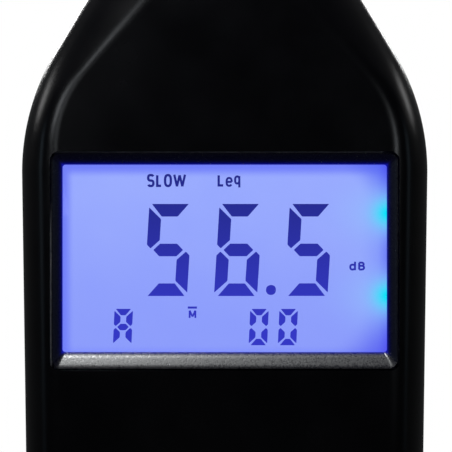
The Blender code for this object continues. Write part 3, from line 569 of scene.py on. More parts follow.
def lit_edges(made, across, up, colour):
    """The display's colour with its dim corners, its two lamps and its dark border."""
    half_x, half_z = WINDOW_HALF
    from_left, from_right = made.plus(across, half_x), made.minus(half_x, across)
    from_top, from_foot = made.minus(half_z, up), made.plus(up, half_z)
    mottle = made.spread(made.noise(7.0), 0.3, 0.7, 0.0, 0.12)
    colour = made.mix(mottle, colour, linear(128, 146, 255))
    sides = made.times(made.smooth(from_left, 0.2, 1.9), made.smooth(from_right, -1.6, 4.6))
    ends = made.times(made.smooth(from_top, 0.4, 2.2), made.smooth(from_foot, -1.6, 1.4))
    colour = made.mix(made.times(sides, ends), linear(116, 130, 251), colour)
    for rise, share, reach, dark in (
        (from_top, 0.7, 6.5, linear(86, 100, 245)),
        (from_foot, 0.65, 7.5, linear(95, 104, 242)),
    ):
        near = made.plus(made.times(from_right, 0.8), made.times(rise, share))
        colour = made.mix(made.smooth(near, 0.0, reach), dark, colour)
    brink = made.times(made.minus(1.0, made.smooth(from_right, -0.6, 1.7)), 0.55)
    colour = made.mix(brink, colour, linear(60, 40, 240))
    for height in LAMP_HEIGHTS:
        rise = made.minus(up, height)
        for share, narrow, size, tint in (
            (0.8, 0.5, 20.0, linear(150, 188, 254)),
            (1.0, 1.0, 4.6, linear(0, 227, 251)),
        ):
            flat = made.times(made.times(from_right, from_right), narrow)
            square = made.plus(flat, made.times(rise, rise))
            colour = made.mix(made.times(made.fading(square, size), share), colour, tint)
    side = made.math("MINIMUM", from_left, from_right)
    border = made.math("MINIMUM", side, made.math("MINIMUM", from_top, from_foot))
    return made.mix(made.smooth(border, -0.03, 0.14), linear(6, 3, 110), colour)


def display_light(name, low_colour, high_colour, edges=False, strength=1.0):
    """Light coming through the display, brighter towards the top. With `edges` it also has
    the border of the diffuser and the two lamps at the right edge. Mirrored it is dim."""
    made = Nodes(name)
    across, _, height = made.millimetres()
    up = made.minus(height, WINDOW.z)
    colour = made.mix(made.smooth(up, -WINDOW_HALF[1], WINDOW_HALF[1]), low_colour, high_colour)
    if edges:
        colour = lit_edges(made, across, up, colour)
    bounced = made.math("MINIMUM", made.add("ShaderNodeLightPath").outputs["Glossy Depth"], 1.0)
    return made.set(
        Base_Color=NO_LIGHT,
        Emission_Color=made.mix(made.times(bounced, 0.95), colour, NO_LIGHT),
        Emission_Strength=strength,
        Specular_IOR_Level=0.0,
    ).material


BLACK_ABS = moulded("black_abs", (0.0008, 0.0008, 0.0014), 0.25, grain=0.3, depth=0.006, specular=0.42)
BEZEL_ABS = bezel_plastic_painted_glow()
DOOR_ABS = moulded("door_abs", (0.0024, 0.0025, 0.0031), 0.31, grain=0.3, depth=0.010, specular=0.42)
LABEL = moulded("keypad_label", (0.035, 0.038, 0.042), 0.48, grain=0.16, depth=0.006, vary=0.1)
LABEL_LINE = moulded("label_line", (0.42, 0.44, 0.46), 0.5, grain=0.16, depth=0.004, vary=0.06)
KEY_GREY = moulded("key_grey", (0.40, 0.42, 0.44), 0.5, grain=0.2, depth=0.008, vary=0.08)
KEY_ORANGE = moulded("key_orange", (0.85, 0.19, 0.03), 0.45, grain=0.2, depth=0.008, vary=0.08)
KEY_MARK = moulded("key_mark", (0.75, 0.77, 0.78), 0.5, grain=0.2, depth=0.004, vary=0.05)
KEY_MARK_DARK = moulded("key_mark_dark", (0.02, 0.022, 0.025), 0.5, grain=0.2, depth=0.004, vary=0.1)
WHITE = moulded("white_plastic", (0.72, 0.73, 0.74), 0.35, grain=0.4, depth=0.006, vary=0.05)
CHIP = moulded("chip_epoxy", (0.02, 0.02, 0.021), 0.55, grain=0.12, depth=0.01, vary=0.2)
TRIMMER = moulded("trimmer_blue", (0.03, 0.12, 0.42), 0.4, grain=0.3, depth=0.006, vary=0.1)
SLEEVE = moulded("cell_sleeve", (0.012, 0.014, 0.018), 0.25, grain=0.8, depth=0.004, vary=0.15)
SLEEVE_BAND = metal("cell_band", (0.62, 0.30, 0.10), 0.3, depth=0.001)
RED_SLEEVE = moulded("red_wire", (0.45, 0.015, 0.012), 0.4, grain=0.4, depth=0.004, vary=0.1)
BLACK_SLEEVE = moulded("black_wire", (0.012, 0.012, 0.013), 0.45, grain=0.4, depth=0.004, vary=0.1)
RUBBER = soft_rubber("rubber", (0.010, 0.010, 0.011))
SILICONE = soft_rubber("silicone", (0.18, 0.18, 0.19), 0.6)
STEEL = metal("satin_steel", (0.56, 0.57, 0.58), 0.3, marks=(0.05, 0.05, 1.0))
ZINC = metal("zinc_screw", (0.50, 0.50, 0.49), 0.35, marks=(1.0, 0.3, 1.0), mark_size=0.3)
NICKEL = metal("nickel", (0.66, 0.64, 0.60), 0.22, marks=(0.1, 0.1, 1.0))
BRASS = metal("brass", (0.66, 0.46, 0.18), 0.28, marks=(1.0, 0.1, 1.0))
BOARD = circuit_board()
CLEAR = clear_window()


# Casing surface


def ease(value, start, end):
    """0 to 1 between two values, easing at both ends."""
    share = min(max((value - start) / (end - start), 0.0), 1.0)
    return share * share * (3.0 - 2.0 * share)


def mix(low, high, share):
    """The value a share of the way from low to high."""
    return low + (high - low) * share


def shoulder_arc_end():
    """Height and half width where the shoulder's arc meets the straight flank."""
    z = SHOULDER_Z + SHOULDER_R * math.sin(FLANK)
    return z, SHOULDER_HALF - SHOULDER_R * (1 - math.cos(FLANK))


def neck_start():
    """Height where the neck's arc meets the straight neck."""
    z, half = shoulder_arc_end()
    turn_half = NECK_HALF + NECK_R * (1 - math.cos(FLANK))
    return z + (half - turn_half) / math.tan(FLANK) + NECK_R * math.sin(FLANK)


def half_width(z):
    """Half the casing's width: taper, shoulder arc, straight flank, neck arc and neck."""
    arc_z, arc_half = shoulder_arc_end()
    neck_z = neck_start()
    if z <= SHOULDER_Z:
        return SHOULDER_HALF - BODY_TAPER * (SHOULDER_Z - z)
    if z <= arc_z:
        return SHOULDER_HALF - SHOULDER_R + math.sqrt(SHOULDER_R**2 - (z - SHOULDER_Z) ** 2)
    if z <= neck_z - NECK_R * math.sin(FLANK):
        return arc_half - (z - arc_z) * math.tan(FLANK)
    if z < neck_z:
        return NECK_HALF + NECK_R - math.sqrt(NECK_R**2 - (neck_z - z) ** 2)
    return NECK_HALF


def arch_half(z):
    """Half the flat face's width, which closes in a rounded arch below the neck."""
    if z <= ARCH_Z:
        return half_width(z) - SIDE_BAND
    foot = half_width(ARCH_Z) - SIDE_BAND
    arc_z = ARCH_Z + ARCH_R * math.sin(ARCH_LEAN)
    if z <= arc_z:
        return foot - ARCH_R + math.sqrt(ARCH_R**2 - (z - ARCH_Z) ** 2)
    flank = foot - ARCH_R * (1 - math.cos(ARCH_LEAN))
    tip_z = arc_z + (flank - ARCH_TIP_R * math.cos(ARCH_LEAN)) / math.tan(ARCH_LEAN)
    if z <= tip_z:
        return flank - (z - arc_z) * math.tan(ARCH_LEAN)
    above = z - tip_z + ARCH_TIP_R * math.sin(ARCH_LEAN)
    return math.sqrt(max(ARCH_TIP_R**2 - above**2, 0.0))


def quarter_section(z, front, arc_steps=14, ridge_steps=5):
    """(x, depth) points from the parting line at the side round to the middle of the face."""
    inset = BASE_R - math.sqrt(BASE_R**2 - (BASE_R - z) ** 2) if z < BASE_R else 0.0
    side = half_width(z) - inset
    thinning = ease(z, THIN_FROM_Z, neck_start())
    if front:
        depth, wall = FRONT_DEPTH, SIDE_WALL_FRONT
        flat = arch_half(z) - inset
        turn = mix(math.pi / 2, RIDGE_TURN, ease(flat, 0.0, ARCH_FADE))
    else:
        depth, wall = REAR_DEPTH, SIDE_WALL_REAR
        flat = mix(side - REAR_CORNER, 0.0, thinning)
        turn = math.pi / 2
    flat = max(flat, NECK_FLAT)
    depth = mix(depth, NECK_HALF, thinning) - inset
    wall = mix(wall, NECK_SIDE_WALL, thinning)

    def arc_point(angle):
        share = (math.cos(angle) - math.cos(turn)) / (1 - math.cos(turn))
        rise = math.sin(angle) / math.sin(turn)
        return Vector((mix(flat, side, share), mix(wall, depth, rise)))

    ridge = min(RIDGE_R, flat * 0.9)
    corner = Vector((flat, depth))
    pace = (arc_point(turn) - arc_point(turn - 0.01)).length / 0.01
    last = max(turn - ridge / pace, turn * 0.5)
    points = [Vector((side, PARTING_GAP / 2))]
    points += [arc_point(last * i / arc_steps) for i in range(arc_steps + 1)]
    start, end = points[-1], Vector((flat - ridge, depth))
    for i in range(1, ridge_steps + 1):
        t = i / ridge_steps
        points.append(start * (1 - t) ** 2 + corner * 2 * t * (1 - t) + end * t**2)
    points += [Vector((end.x * share, depth)) for share in (0.66, 0.33, 0.0)]
    return points


def stations():
    """Heights of the casing's sections, closer together where it curves."""
    base = [BASE_R * (1 - math.cos(math.radians(a))) for a in range(0, 91, 10)]
    body = [mix(BASE_R, SHOULDER_Z, i / 10) for i in range(1, 10)]
    top = neck_start()
    curved = [mix(SHOULDER_Z, top, i / 60) for i in range(61)]
    return [*base, *body, *curved, NECK_TOP - 0.4, NECK_TOP]


def shell(name, front):
    """Half of the casing, with its wall."""
    side = -1 if front else 1
    shape = bmesh.new()
    rings = []
    for z in stations():
        half = quarter_section(z, front)
        inset = 0.25 if z >= NECK_TOP else 0.0
        ring = [(-p.x, p.y) for p in half] + [(p.x, p.y) for p in reversed(half[:-1])]
        scale = (NECK_HALF - inset) / NECK_HALF
        row = []
        for x, y in ring:
            row.append(shape.verts.new((x * scale, side * max(y * scale, PARTING_GAP / 2), z)))
        rings.append(row)
    for lower, upper in zip(rings, rings[1:]):
        for i in range(len(lower) - 1):
            face = (lower[i], lower[i + 1], upper[i + 1], upper[i])
            shape.faces.new(face if front else reversed(face))
    shape.faces.new(reversed(rings[0]) if front else rings[0])
    obj = solid(name, shape)
    wall = obj.modifiers.new("wall", "SOLIDIFY")
    wall.thickness = WALL
    wall.offset = -1.0
    wall.use_even_offset = True
    wall.use_quality_normals = True
    return apply_modifiers(obj)


def opening_levels(half, corner, y_out, y_in, side, chamfer=0.15):
    """Levels of a cutter whose mouth is chamfered where it meets the surface at y_out."""
    half_x, half_z = half
    return [
        (half_x + chamfer, half_z + chamfer, corner + chamfer, y_out - side * 1.0),
        (half_x + chamfer, half_z + chamfer, corner + chamfer, y_out - side * 0.02),
        (half_x, half_z, corner, y_out + side * chamfer),
        (half_x, half_z, corner, y_in),
    ]


KEYS = [n for n in frame["nodes"] if n.startswith("key_") and n != "key_mat"]
CASE_SCREWS = [middle(f"case_screw_{i}") for i in (1, 2, 3, 4)]
BOARD_SCREWS = [middle(f"board_screw_{i}") for i in (1, 2, 3)]
KEY_FLANGE = 1.2
KEY_RIM = 0.45  # rounding of a cap's rim
KEY_GAP = 0.35
OPENING_GAP = 0.25  # round the bezel and the keypad's sheet


def key_outline(name, grow=0.0):
    """Half width, half height and corner radius of a key's cap, and where its middle is."""
    low, high = limits(name)
    half_x = (high.x - low.x) / 2 - KEY_FLANGE + grow
    half_z = (high.z - low.z) / 2 - KEY_FLANGE + grow
    return half_x, half_z, half_z - 0.01, middle(name)


def key_windows(*depths):
    """Cutters for the openings round the keys' caps."""
    windows = []
    for name in KEYS:
        half_x, half_z, corner, place = key_outline(name, KEY_GAP)
        windows.append(stack([(half_x, half_z, corner, y) for y in depths], (place.x, place.z)))
    return windows


def front_shell():
    """Front of the casing, with the window, the keypad's recess and the screw bosses."""
    obj = shell("front_shell", front=True)
    inner = -FRONT_DEPTH + WALL
    bosses, holes = [], []
    for places, boss_r, boss_end, hole_r, hole_end in (
        (CASE_SCREWS, 3.0, -0.3, 1.4, 0.5),
        (BOARD_SCREWS, 2.6, -3.5, 1.2, -3.0),
    ):
        for x, _, z in places:
            bosses.append(rod(boss_r, (x, inner - 0.5, z), (x, boss_end, z)))
            holes.append(rod(hole_r, (x, inner, z), (x, hole_end, z)))
    combine(obj, "UNION", bosses)
    half = (BEZEL_HALF[0] + OPENING_GAP, BEZEL_HALF[1] + OPENING_GAP)
    levels = opening_levels(half, 1.4, -FRONT_DEPTH, -9.0, 1, chamfer=0.03)
    combine(obj, "DIFFERENCE", [*holes, stack(levels, (0.0, WINDOW.z - BEZEL_DROP))])
    low, high = limits("keypad_overlay")
    half = ((high.x - low.x) / 2 + OPENING_GAP, (high.z - low.z) / 2 + OPENING_GAP)
    levels = opening_levels(half, 3.25, -FRONT_DEPTH, high.y + 0.3, 1)
    combine(obj, "DIFFERENCE", [stack(levels, (0.0, (low.z + high.z) / 2))])
    combine(obj, "DIFFERENCE", key_windows(-13.0, -9.0))
    finish_piece(obj, BLACK_ABS, replaces=("front_case",), weighted=True)


TRAY_HALF = 22.0
TRAY_WALL = 1.2
TRAY_FLOOR = 0.2
TRAY_Z = (16.6, 65.8)
DOOR_LOW, DOOR_HIGH = limits("battery_door")
HINGE = Vector(next(j for j in frame["joints"] if j["name"] == "battery_door_hinge")["pos_m"]) / MM
HINGE_R = 1.6
DOOR_HALF = 22.3
PORT_Y, PORT_Z = middle("cal_trimmer_screw").yz
TRIPOD_Z = middle("tripod_insert").z


def rear_shell():
    """Rear of the casing, with the battery tray, hinge holes, tripod boss and side ports."""
    obj = shell("rear_shell", front=False)
    inner = REAR_DEPTH - WALL
    outer = TRAY_HALF + TRAY_WALL
    bosses, holes = [], []
    for place in CASE_SCREWS:
        bosses.append(rod(3.4, (place.x, 0.3, place.z), (place.x, inner + 1.0, place.z)))
        profile = [(0, 14), (3.0, 14), (3.0, REAR_DEPTH + 0.02), (2.7, REAR_DEPTH - 0.28), (2.7, 9.5)]
        profile += [(1.5, 9.5), (1.5, 0.0), (0.0, 0.0)]
        holes.append(lathe(profile, (place.x, 0.0, place.z), (0, 1, 0), steps=32))
    bosses.append(rod(5.8, (0, 3.5, TRIPOD_Z), (0, inner + 1.0, TRIPOD_Z), sides=48))
    profile = [(0, 14), (4.6, 14), (4.6, REAR_DEPTH + 0.02), (4.3, REAR_DEPTH - 0.28)]
    profile += [(4.3, 4.7), (0, 4.7)]
    holes.append(lathe(profile, (0, 0, TRIPOD_Z), (0, 1, 0), steps=48))
    for side in (-1, 1):
        ends = sorted((side * (DOOR_HALF + 0.3), side * 25.0))
        low, high = (ends[0], 9.4, HINGE.z - 2.4), (ends[1], inner + 0.5, HINGE.z + 2.4)
        bosses.append(slab(low, high, corner=0.2))
        holes.append(rod(0.95, (side * 22.0, HINGE.y, HINGE.z), (side * 23.9, HINGE.y, HINGE.z)))
    combine(obj, "UNION", bosses)
    low = (-outer, TRAY_FLOOR - TRAY_WALL, TRAY_Z[0] - TRAY_WALL)
    combine(obj, "UNION", [slab(low, (outer, 12.0, TRAY_Z[1] + TRAY_WALL), corner=0.8)])
    low = (-TRAY_HALF, TRAY_FLOOR, TRAY_Z[0])
    combine(obj, "DIFFERENCE", [slab(low, (TRAY_HALF, 14.0, TRAY_Z[1]), corner=0.6)])
    half = (DOOR_HALF + 0.3, (DOOR_HIGH.z - HINGE.z + HINGE_R) / 2 + 0.3)
    levels = opening_levels(half, 0.9, REAR_DEPTH, 10.0, -1)
    combine(obj, "DIFFERENCE", [stack(levels, (0.0, (DOOR_HIGH.z + HINGE.z - HINGE_R) / 2))])
    combine(obj, "DIFFERENCE", holes)
    ports = [
        rod(3.3, (-33.0, PORT_Y, PORT_Z), (-26.0, PORT_Y, PORT_Z), sides=48),
        rod(1.6, (33.0, PORT_Y, PORT_Z), (26.0, PORT_Y, PORT_Z)),
    ]
    for side in (-1, 1):
        place = middle(f"cell_{1 if side < 0 else 4}")
        low = (place.x - 1.9, TRAY_FLOOR + 0.5, TRAY_Z[1] - 0.5)
        high = (place.x + 1.9, TRAY_FLOOR + 1.7, TRAY_Z[1] + TRAY_WALL + 0.5)
        ports.append(slab(low, high, corner=0.1))
    scoop = bmesh.new()
    bmesh.ops.create_uvsphere(scoop, u_segments=48, v_segments=24, radius=1.0)
    bmesh.ops.scale(scoop, vec=(8.0, 1.3, 5.0), verts=scoop.verts)
    bmesh.ops.translate(scoop, vec=(0.0, REAR_DEPTH, DOOR_HIGH.z + 1.0), verts=scoop.verts)
    combine(obj, "DIFFERENCE", [*ports, scoop])
    finish_piece(obj, BLACK_ABS, replaces=("rear_case",), weighted=True)


def seam_lip():
    """Lip of the rear shell that stands inside the front one and closes the parting line."""
    thick = 0.7
    inset = WALL + 0.25 + thick / 2
    side = [(half_width(z) - inset, z) for z in stations() if z < neck_start() - 1 and z > BASE_R]
    foot = half_width(BASE_R) - inset
    near, far = BASE_R / 8, BASE_R / 2
    right = [(foot - far, inset), (foot - near, inset + near), (foot, inset + far), *side]
    left = [(-x, z) for x, z in reversed(right)]
    obj = solid("seam_lip", ribbon([*left, *right], thick, (-1.2, 1.0)))
    finish_piece(obj, BLACK_ABS)


def battery_door():
    """Door with rounded edges, grip grooves, knuckle and pins."""
    low = (-DOOR_HALF, HINGE.y - 0.2, HINGE.z)
    obj = solid("door_panel", slab(low, (DOOR_HALF, REAR_DEPTH, DOOR_HIGH.z), corner=0.8, edge=0.25))
    ends = [(side * DOOR_HALF, HINGE.y, HINGE.z) for side in (-1, 1)]
    combine(obj, "UNION", [rod(HINGE_R, *ends, sides=48)])
    pins = [(DOOR_LOW.x, HINGE.y, HINGE.z), (DOOR_HIGH.x, HINGE.y, HINGE.z)]
    combine(obj, "UNION", [rod(0.65, *pins, sides=24)])
    grooves = []
    for i in range(5):
        z = DOOR_HIGH.z - 14.4 + 2.4 * i
        ends = [(x, REAR_DEPTH + 0.25, z) for x in (-8.0, 8.0)]
        grooves.append(tube(ends, 0.75, sides=24))
    combine(obj, "DIFFERENCE", grooves)
    finish_piece(obj, DOOR_ABS, "battery_door", ("battery_door",), weighted=True)


# Display


# The bezel's slope from its window outward: how steep it is, and for how much of its width
SLOPE = (
    (50, 0.06), (46.5, 0.06), (43.5, 0.06), (41, 0.05), (39, 0.12), (34.0, 0.38),
    (32.5, 0.07), (30, 0.07), (26, 0.07), (20, 0.06),
)


def bezel():
    """Frame whose four sides slope in to the window and round off towards their rim."""
    half_x, half_z = BEZEL_HALF
    inner_x, inner_z = WINDOW_HALF
    run = half_z - 0.03 - inner_z - 0.04
    y = BEZEL_LIP - 0.05
    levels = []
    across = 0.0
    for steep, share in ((0, 0.0), *SLOPE):
        across += share
        y -= math.tan(math.radians(steep)) * share * run
        reach_x = mix(inner_x + 0.04, half_x - 0.03, across)
        reach_z = mix(inner_z + 0.04, half_z - 0.03, across)
        levels.append((reach_x, reach_z, 0.65 + 0.8 * across**4, y))
    levels = [
        (26.2, 15.7, 0.8, BEZEL_HIGH.y),
        (26.2, 15.7, 0.8, -9.55),
        (inner_x, inner_z, 0.6, -9.55),
        (inner_x, inner_z, 0.6, BEZEL_LIP + 0.12),
        (inner_x + 0.01, inner_z + 0.01, 0.62, BEZEL_LIP),
        *levels,
        (half_x, half_z, 1.4, y + 0.07),
        (half_x, half_z, 1.4, BEZEL_HIGH.y),
    ]
    shape = stack(levels, (0.0, WINDOW.z), segments=8, closed=True)
    for vert in shape.verts:
        outside = (abs(vert.co.z - WINDOW.z) - inner_z) / (half_z - inner_z)
        vert.co.z -= BEZEL_DROP * max(outside, 0.0)
    obj = solid("bezel", shape)
    finish_piece(obj, BEZEL_ABS, replaces=("display_bezel",), weighted=True)


def display_glow():
    """Lit film over the display, and the window's clear plate."""
    low, high = limits("lcd_glass")
    half_x, half_z = WINDOW_HALF[0] + 0.5, WINDOW_HALF[1] + 0.5
    near, far = low.y - 0.14, low.y - 0.04
    film = slab((-half_x, near, WINDOW.z - half_z), (half_x, far, WINDOW.z + half_z), corner=0.5)
    shades = linear(143, 159, 252), linear(157, 174, 255)
    light = display_light("display_light", *shades, edges=True, strength=1.03)
    finish_piece(solid("display_film", film), light)
    low, high = limits("window_lens")
    obj = solid("window_plate", slab(low, high, corner=0.6, edge=0.15))
    finish_piece(obj, CLEAR, replaces=("window_lens",))


# Which of a digit's segments are lit: top, upper left, upper right, middle, lower left,
# lower right, bottom
DIGITS = {"5": "1101011", "6": "1101111", "0": "1110111", "A": "1111110"}


def digit(symbol, left, top, size, thick, gap, lean, rounding, y_range):
    """Seven-segment digit with mitred ends, leaning to the right, as thin plates."""
    width, height = size
    half = height / 2
    bar = [
        (0.2 * thick, 0.0), (width - 0.3 * thick, 0.0),
        (width - 1.12 * thick, thick), (1.03 * thick, thick),
    ]
    post = [
        (0.0, gap), (thick, thick + 0.75 * gap), (thick, half - thick / 2 - gap),
        (0.3 * thick, half - 0.45 * gap), (0.0, half - 0.3 * thick - 0.45 * gap),
    ]
    inner = 1.03 * thick
    centre = [
        (0.53 * thick, half), (inner, half - thick / 2), (width - inner, half - thick / 2),
        (width - 0.53 * thick, half), (width - inner, half + thick / 2), (inner, half + thick / 2),
    ]

    def turned(points, across, down):
        """The points mirrored across the digit, down it, or both."""
        return [(width - x if across else x, height - z if down else z) for x, z in points]

    segments = (
        bar, post, turned(post, True, False), centre,
        turned(post, False, True), turned(post, True, True), turned(bar, True, True),
    )
    lit = []
    for state, points in zip(DIGITS[symbol], segments):
        if state == "1":
            outline = [(left + x + lean * (height - down), top - down) for x, down in points]
            lit.append(prism(softened(outline, rounding, closed=True), *y_range))
    return lit


def ribbon(points, width, y_range, closed=False):
    """A flat strip along the (x, z) points, with mitred corners, as a thin plate."""
    points = [Vector(point) for point in points]
    count = len(points)
    shape = bmesh.new()
    rows = []
    for i, point in enumerate(points):
        legs = []
        if closed or i > 0:
            legs.append((point - points[i - 1]).normalized())
        if closed or i < count - 1:
            legs.append((points[(i + 1) % count] - point).normalized())
        normals = [Vector((-leg.y, leg.x)) for leg in legs]
        normal = (normals[0] + normals[-1]).normalized()
        reach = normal * width / 2 / max(normal.dot(normals[0]), 0.5)
        corners = ((point + reach, 0), (point - reach, 0), (point - reach, 1), (point + reach, 1))
        rows.append([shape.verts.new((p.x, y_range[i], p.y)) for p, i in corners])
    for near, far in zip(rows, rows[1:]):
        ring_faces(shape, near, far)
    if closed:
        ring_faces(shape, rows[-1], rows[0])
    else:
        shape.faces.new(rows[0])
        shape.faces.new(rows[-1])
    return outward(shape)


def bow(centre, reach, start, end, count=16, square=0.78):
    """Part of an oval, a little squarer than an ellipse."""
    points = []
    for i in range(count + 1):
        angle = math.radians(mix(start, end, i / count))
        across, up = math.cos(angle), math.sin(angle)
        x = math.copysign(abs(across) ** square, across)
        z = math.copysign(abs(up) ** square, up)
        points.append((centre[0] + reach[0] * x, centre[1] + reach[1] * z))
    return points


def bars(*points):
    """The lines between the points, one by one."""
    return [list(pair) for pair in zip(points, points[1:])]


RING = bow((0.5, 0.5), (0.5, 0.5), 0, 345, count=23)
# Letters as strokes in a box one wide and one high, each with whether it is a closed loop
LETTERS = {
    "S": [(bow((0.5, 0.75), (0.5, 0.25), 25, 270) + bow((0.5, 0.25), (0.5, 0.25), 90, -155)[1:], False)],
    "L": [([(0.0, 1.0), (0.0, 0.0), (1.0, 0.0)], False)],
    "O": [(RING, True)],
    "W": [
        (bar, False)
        for bar in bars((0.0, 1.05), (0.25, -0.05), (0.5, 1.0), (0.75, -0.05), (1.0, 1.05))
    ],
    "M": [(bar, False) for bar in bars((0.0, -0.1), (0.0, 1.1), (0.5, 0.1), (1.0, 1.1), (1.0, -0.1))],
    "e": [(bow((0.5, 0.5), (0.5, 0.5), 0, 325), False), ([(0.0, 0.5), (1.0, 0.5)], False)],
    "q": [([(x, 0.3 + 0.7 * z) for x, z in RING], True), ([(1.0, 1.05), (1.0, -0.1)], False)],
    "d": [([(x, 0.68 * z) for x, z in RING], True), ([(1.0, 1.1), (1.0, -0.1)], False)],
    "B": [
        ([(0.0, 0.0), (0.0, 1.0)], False),
        ([(0.0, 1.0), *bow((0.55, 0.77), (0.37, 0.23), 90, -90, square=1.0), (0.0, 0.54)], False),
        ([(0.0, 0.54), *bow((0.55, 0.27), (0.45, 0.27), 90, -90, square=1.0), (0.0, 0.0)], False),
    ],
}


def letter(symbol, left, foot, width, height, stroke, y_range):
    """A letter as thin plates, filling the box from its left and foot."""
    inner = (width - stroke, height - stroke)
    shapes = []
    for points, closed in LETTERS[symbol]:
        path = [(left + stroke / 2 + x * inner[0], foot + stroke / 2 + z * inner[1]) for x, z in points]
        shapes.append(ribbon(path, stroke, y_range, closed))
    return shapes


# Words of the display: letter, left edge, foot above the window's middle, width, height, stroke
WORDS = (
    ("S", -12.1, 11.07, 1.19, 2.07, 0.38), ("L", -10.69, 11.1, 0.98, 2.02, 0.38),
    ("O", -9.47, 11.07, 1.28, 2.07, 0.38), ("W", -8.03, 11.1, 2.03, 2.02, 0.36),
    ("L", -1.12, 11.17, 1.06, 1.93, 0.36), ("e", 0.13, 11.13, 1.12, 1.54, 0.32),
    ("q", 1.46, 11.02, 0.98, 1.88, 0.33), ("d", 19.38, -1.89, 1.04, 1.42, 0.31),
    ("B", 20.76, -1.89, 1.07, 1.38, 0.31), ("M", -5.59, -9.29, 1.17, 1.23, 0.28),
)


def read_out():
    """Digits and words of the display, as thin dark plates on the lit film."""
    front = limits("lcd_glass")[0].y - 0.19
    depth = (front, front + 0.04)
    z = WINDOW.z
    shapes = []
    for symbol, left in (("5", -12.58), ("6", -1.67), ("5", 9.27)):
        shapes += digit(symbol, left, z + 8.47, (6.72, 14.31), 1.96, 0.54, 0.06, 0.12, depth)
    for symbol, left in (("A", -17.39), ("0", 3.73), ("0", 8.27)):
        shapes += digit(symbol, left, z - 7.84, (2.88, 5.65), 1.0, 0.29, 0.045, 0.15, depth)
    point = [(7.2 + x, z - 4.9 + y) for x, y in bow((0, 0), (0.77, 0.77), 0, 345, 23, 0.9)]
    shapes.append(prism(point, *depth))
    ink = display_light("display_ink", linear(54, 58, 200), linear(38, 44, 140))
    finish_piece(solid("read_out", merged(shapes)), ink, sharp=30.0)
    low, high = z - 7.8, z - 7.47
    words = [prism([(-5.74, low), (-4.31, low), (-4.31, high), (-5.74, high)], *depth)]
    for symbol, left, foot, width, height, stroke in WORDS:
        words += letter(symbol, left, z + foot, width, height, stroke, depth)
    finish_piece(solid("display_words", merged(words)), ink, sharp=30.0)


# Keypad


def key_caps():
    """Keys with a rounded rim and a shallow dish, and a raised mark on each."""
    for name in KEYS:
        half_x, half_z, corner, place = key_outline(name)
        low, high = limits(name)
        top = low.y
        flange = (half_x + KEY_FLANGE, half_z + KEY_FLANGE, corner + KEY_FLANGE)
        levels = [(1.8, 1.8, 1.79, high.y), (1.8, 1.8, 1.79, -8.9), (*flange, -8.9), (*flange, -9.7)]
        levels += [(half_x, half_z, corner, -9.7), (half_x, half_z, corner, top + KEY_RIM)]
        steps = []
        for i in range(1, 6):
            angle = math.pi / 2 * i / 5
            steps.append((KEY_RIM * (1 - math.cos(angle)), KEY_RIM * (1 - math.sin(angle))))
        steps += [(0.8, 0.02), (1.1, 0.08), (1.5, 0.14), (2.0, 0.16)]
        for inset, down in steps:
            levels.append((half_x - inset, half_z - inset, corner - inset, top + down))
        obj = solid(f"{name}_cap", stack(levels, (place.x, place.z), segments=10))
        if name == "key_power":
            cap_finish, cap_slot, mark_finish, sunk = KEY_ORANGE, "key_orange", KEY_MARK, 0.3
        else:
            cap_finish, cap_slot, mark_finish, sunk = KEY_GREY, "key_grey", KEY_MARK_DARK, 0.22
        finish_piece(obj, cap_finish, name, (name,), weighted=True)
        mark = merged(key_mark(name, Vector((place.x, top + sunk, place.z))))
        finish_piece(solid(f"{name}_mark", mark), mark_finish, name)


def arc(centre, radius, start, end, count=24):
    """Points round part of a circle that faces -Y."""
    points = []
    for i in range(count + 1):
        angle = math.radians(mix(start, end, i / count))
        points.append(centre + Vector((radius * math.cos(angle), 0.0, radius * math.sin(angle))))
    return points


def key_mark(name, centre):
    """Plain raised symbol on a key, in bars 0.36 mm thick."""
    wide = 0.18

    def line(*points):
        return tube([centre + Vector((x, 0.0, z)) for x, z in points], wide, sides=8)

    if name == "key_power":
        ring = tube(arc(centre, 2.0, 120, 420), 0.26, sides=8)
        return [ring, tube([centre, centre + Vector((0, 0, 2.5))], 0.26, sides=8)]
    if name == "key_light":
        rays = []
        for i in range(8):
            way = Vector((math.cos(i * math.pi / 4), 0.0, math.sin(i * math.pi / 4)))
            rays.append(tube([centre + way * 1.1, centre + way * 1.6], wide * 0.9, sides=8))
        return [*rays, tube(arc(centre, 0.7, 0, 360), wide, sides=8)]
    if name == "key_max":
        return [line((-1.1, -0.9), (0.0, 0.5), (1.1, -0.9)), line((-1.1, 1.1), (1.1, 1.1))]
    if name == "key_set":
        return [tube(arc(centre, 1.0, 0, 360), wide, sides=8)]
    if name == "key_mode":
        return [line((-1.4, z), (1.4, z)) for z in (-0.9, 0.0, 0.9)]
    if name == "key_response":
        return [line(*[(x / 10, 0.9 * math.sin(x / 10 * 2.2)) for x in range(-15, 16)])]
    curve = []
    for i in range(17):
        fall = 1.8 if i < 8 else 0.9
        curve.append((mix(-1.8, 1.8, i / 16), 0.9 - fall * (i / 8 - 1) ** 2))
    return [line(*curve)]


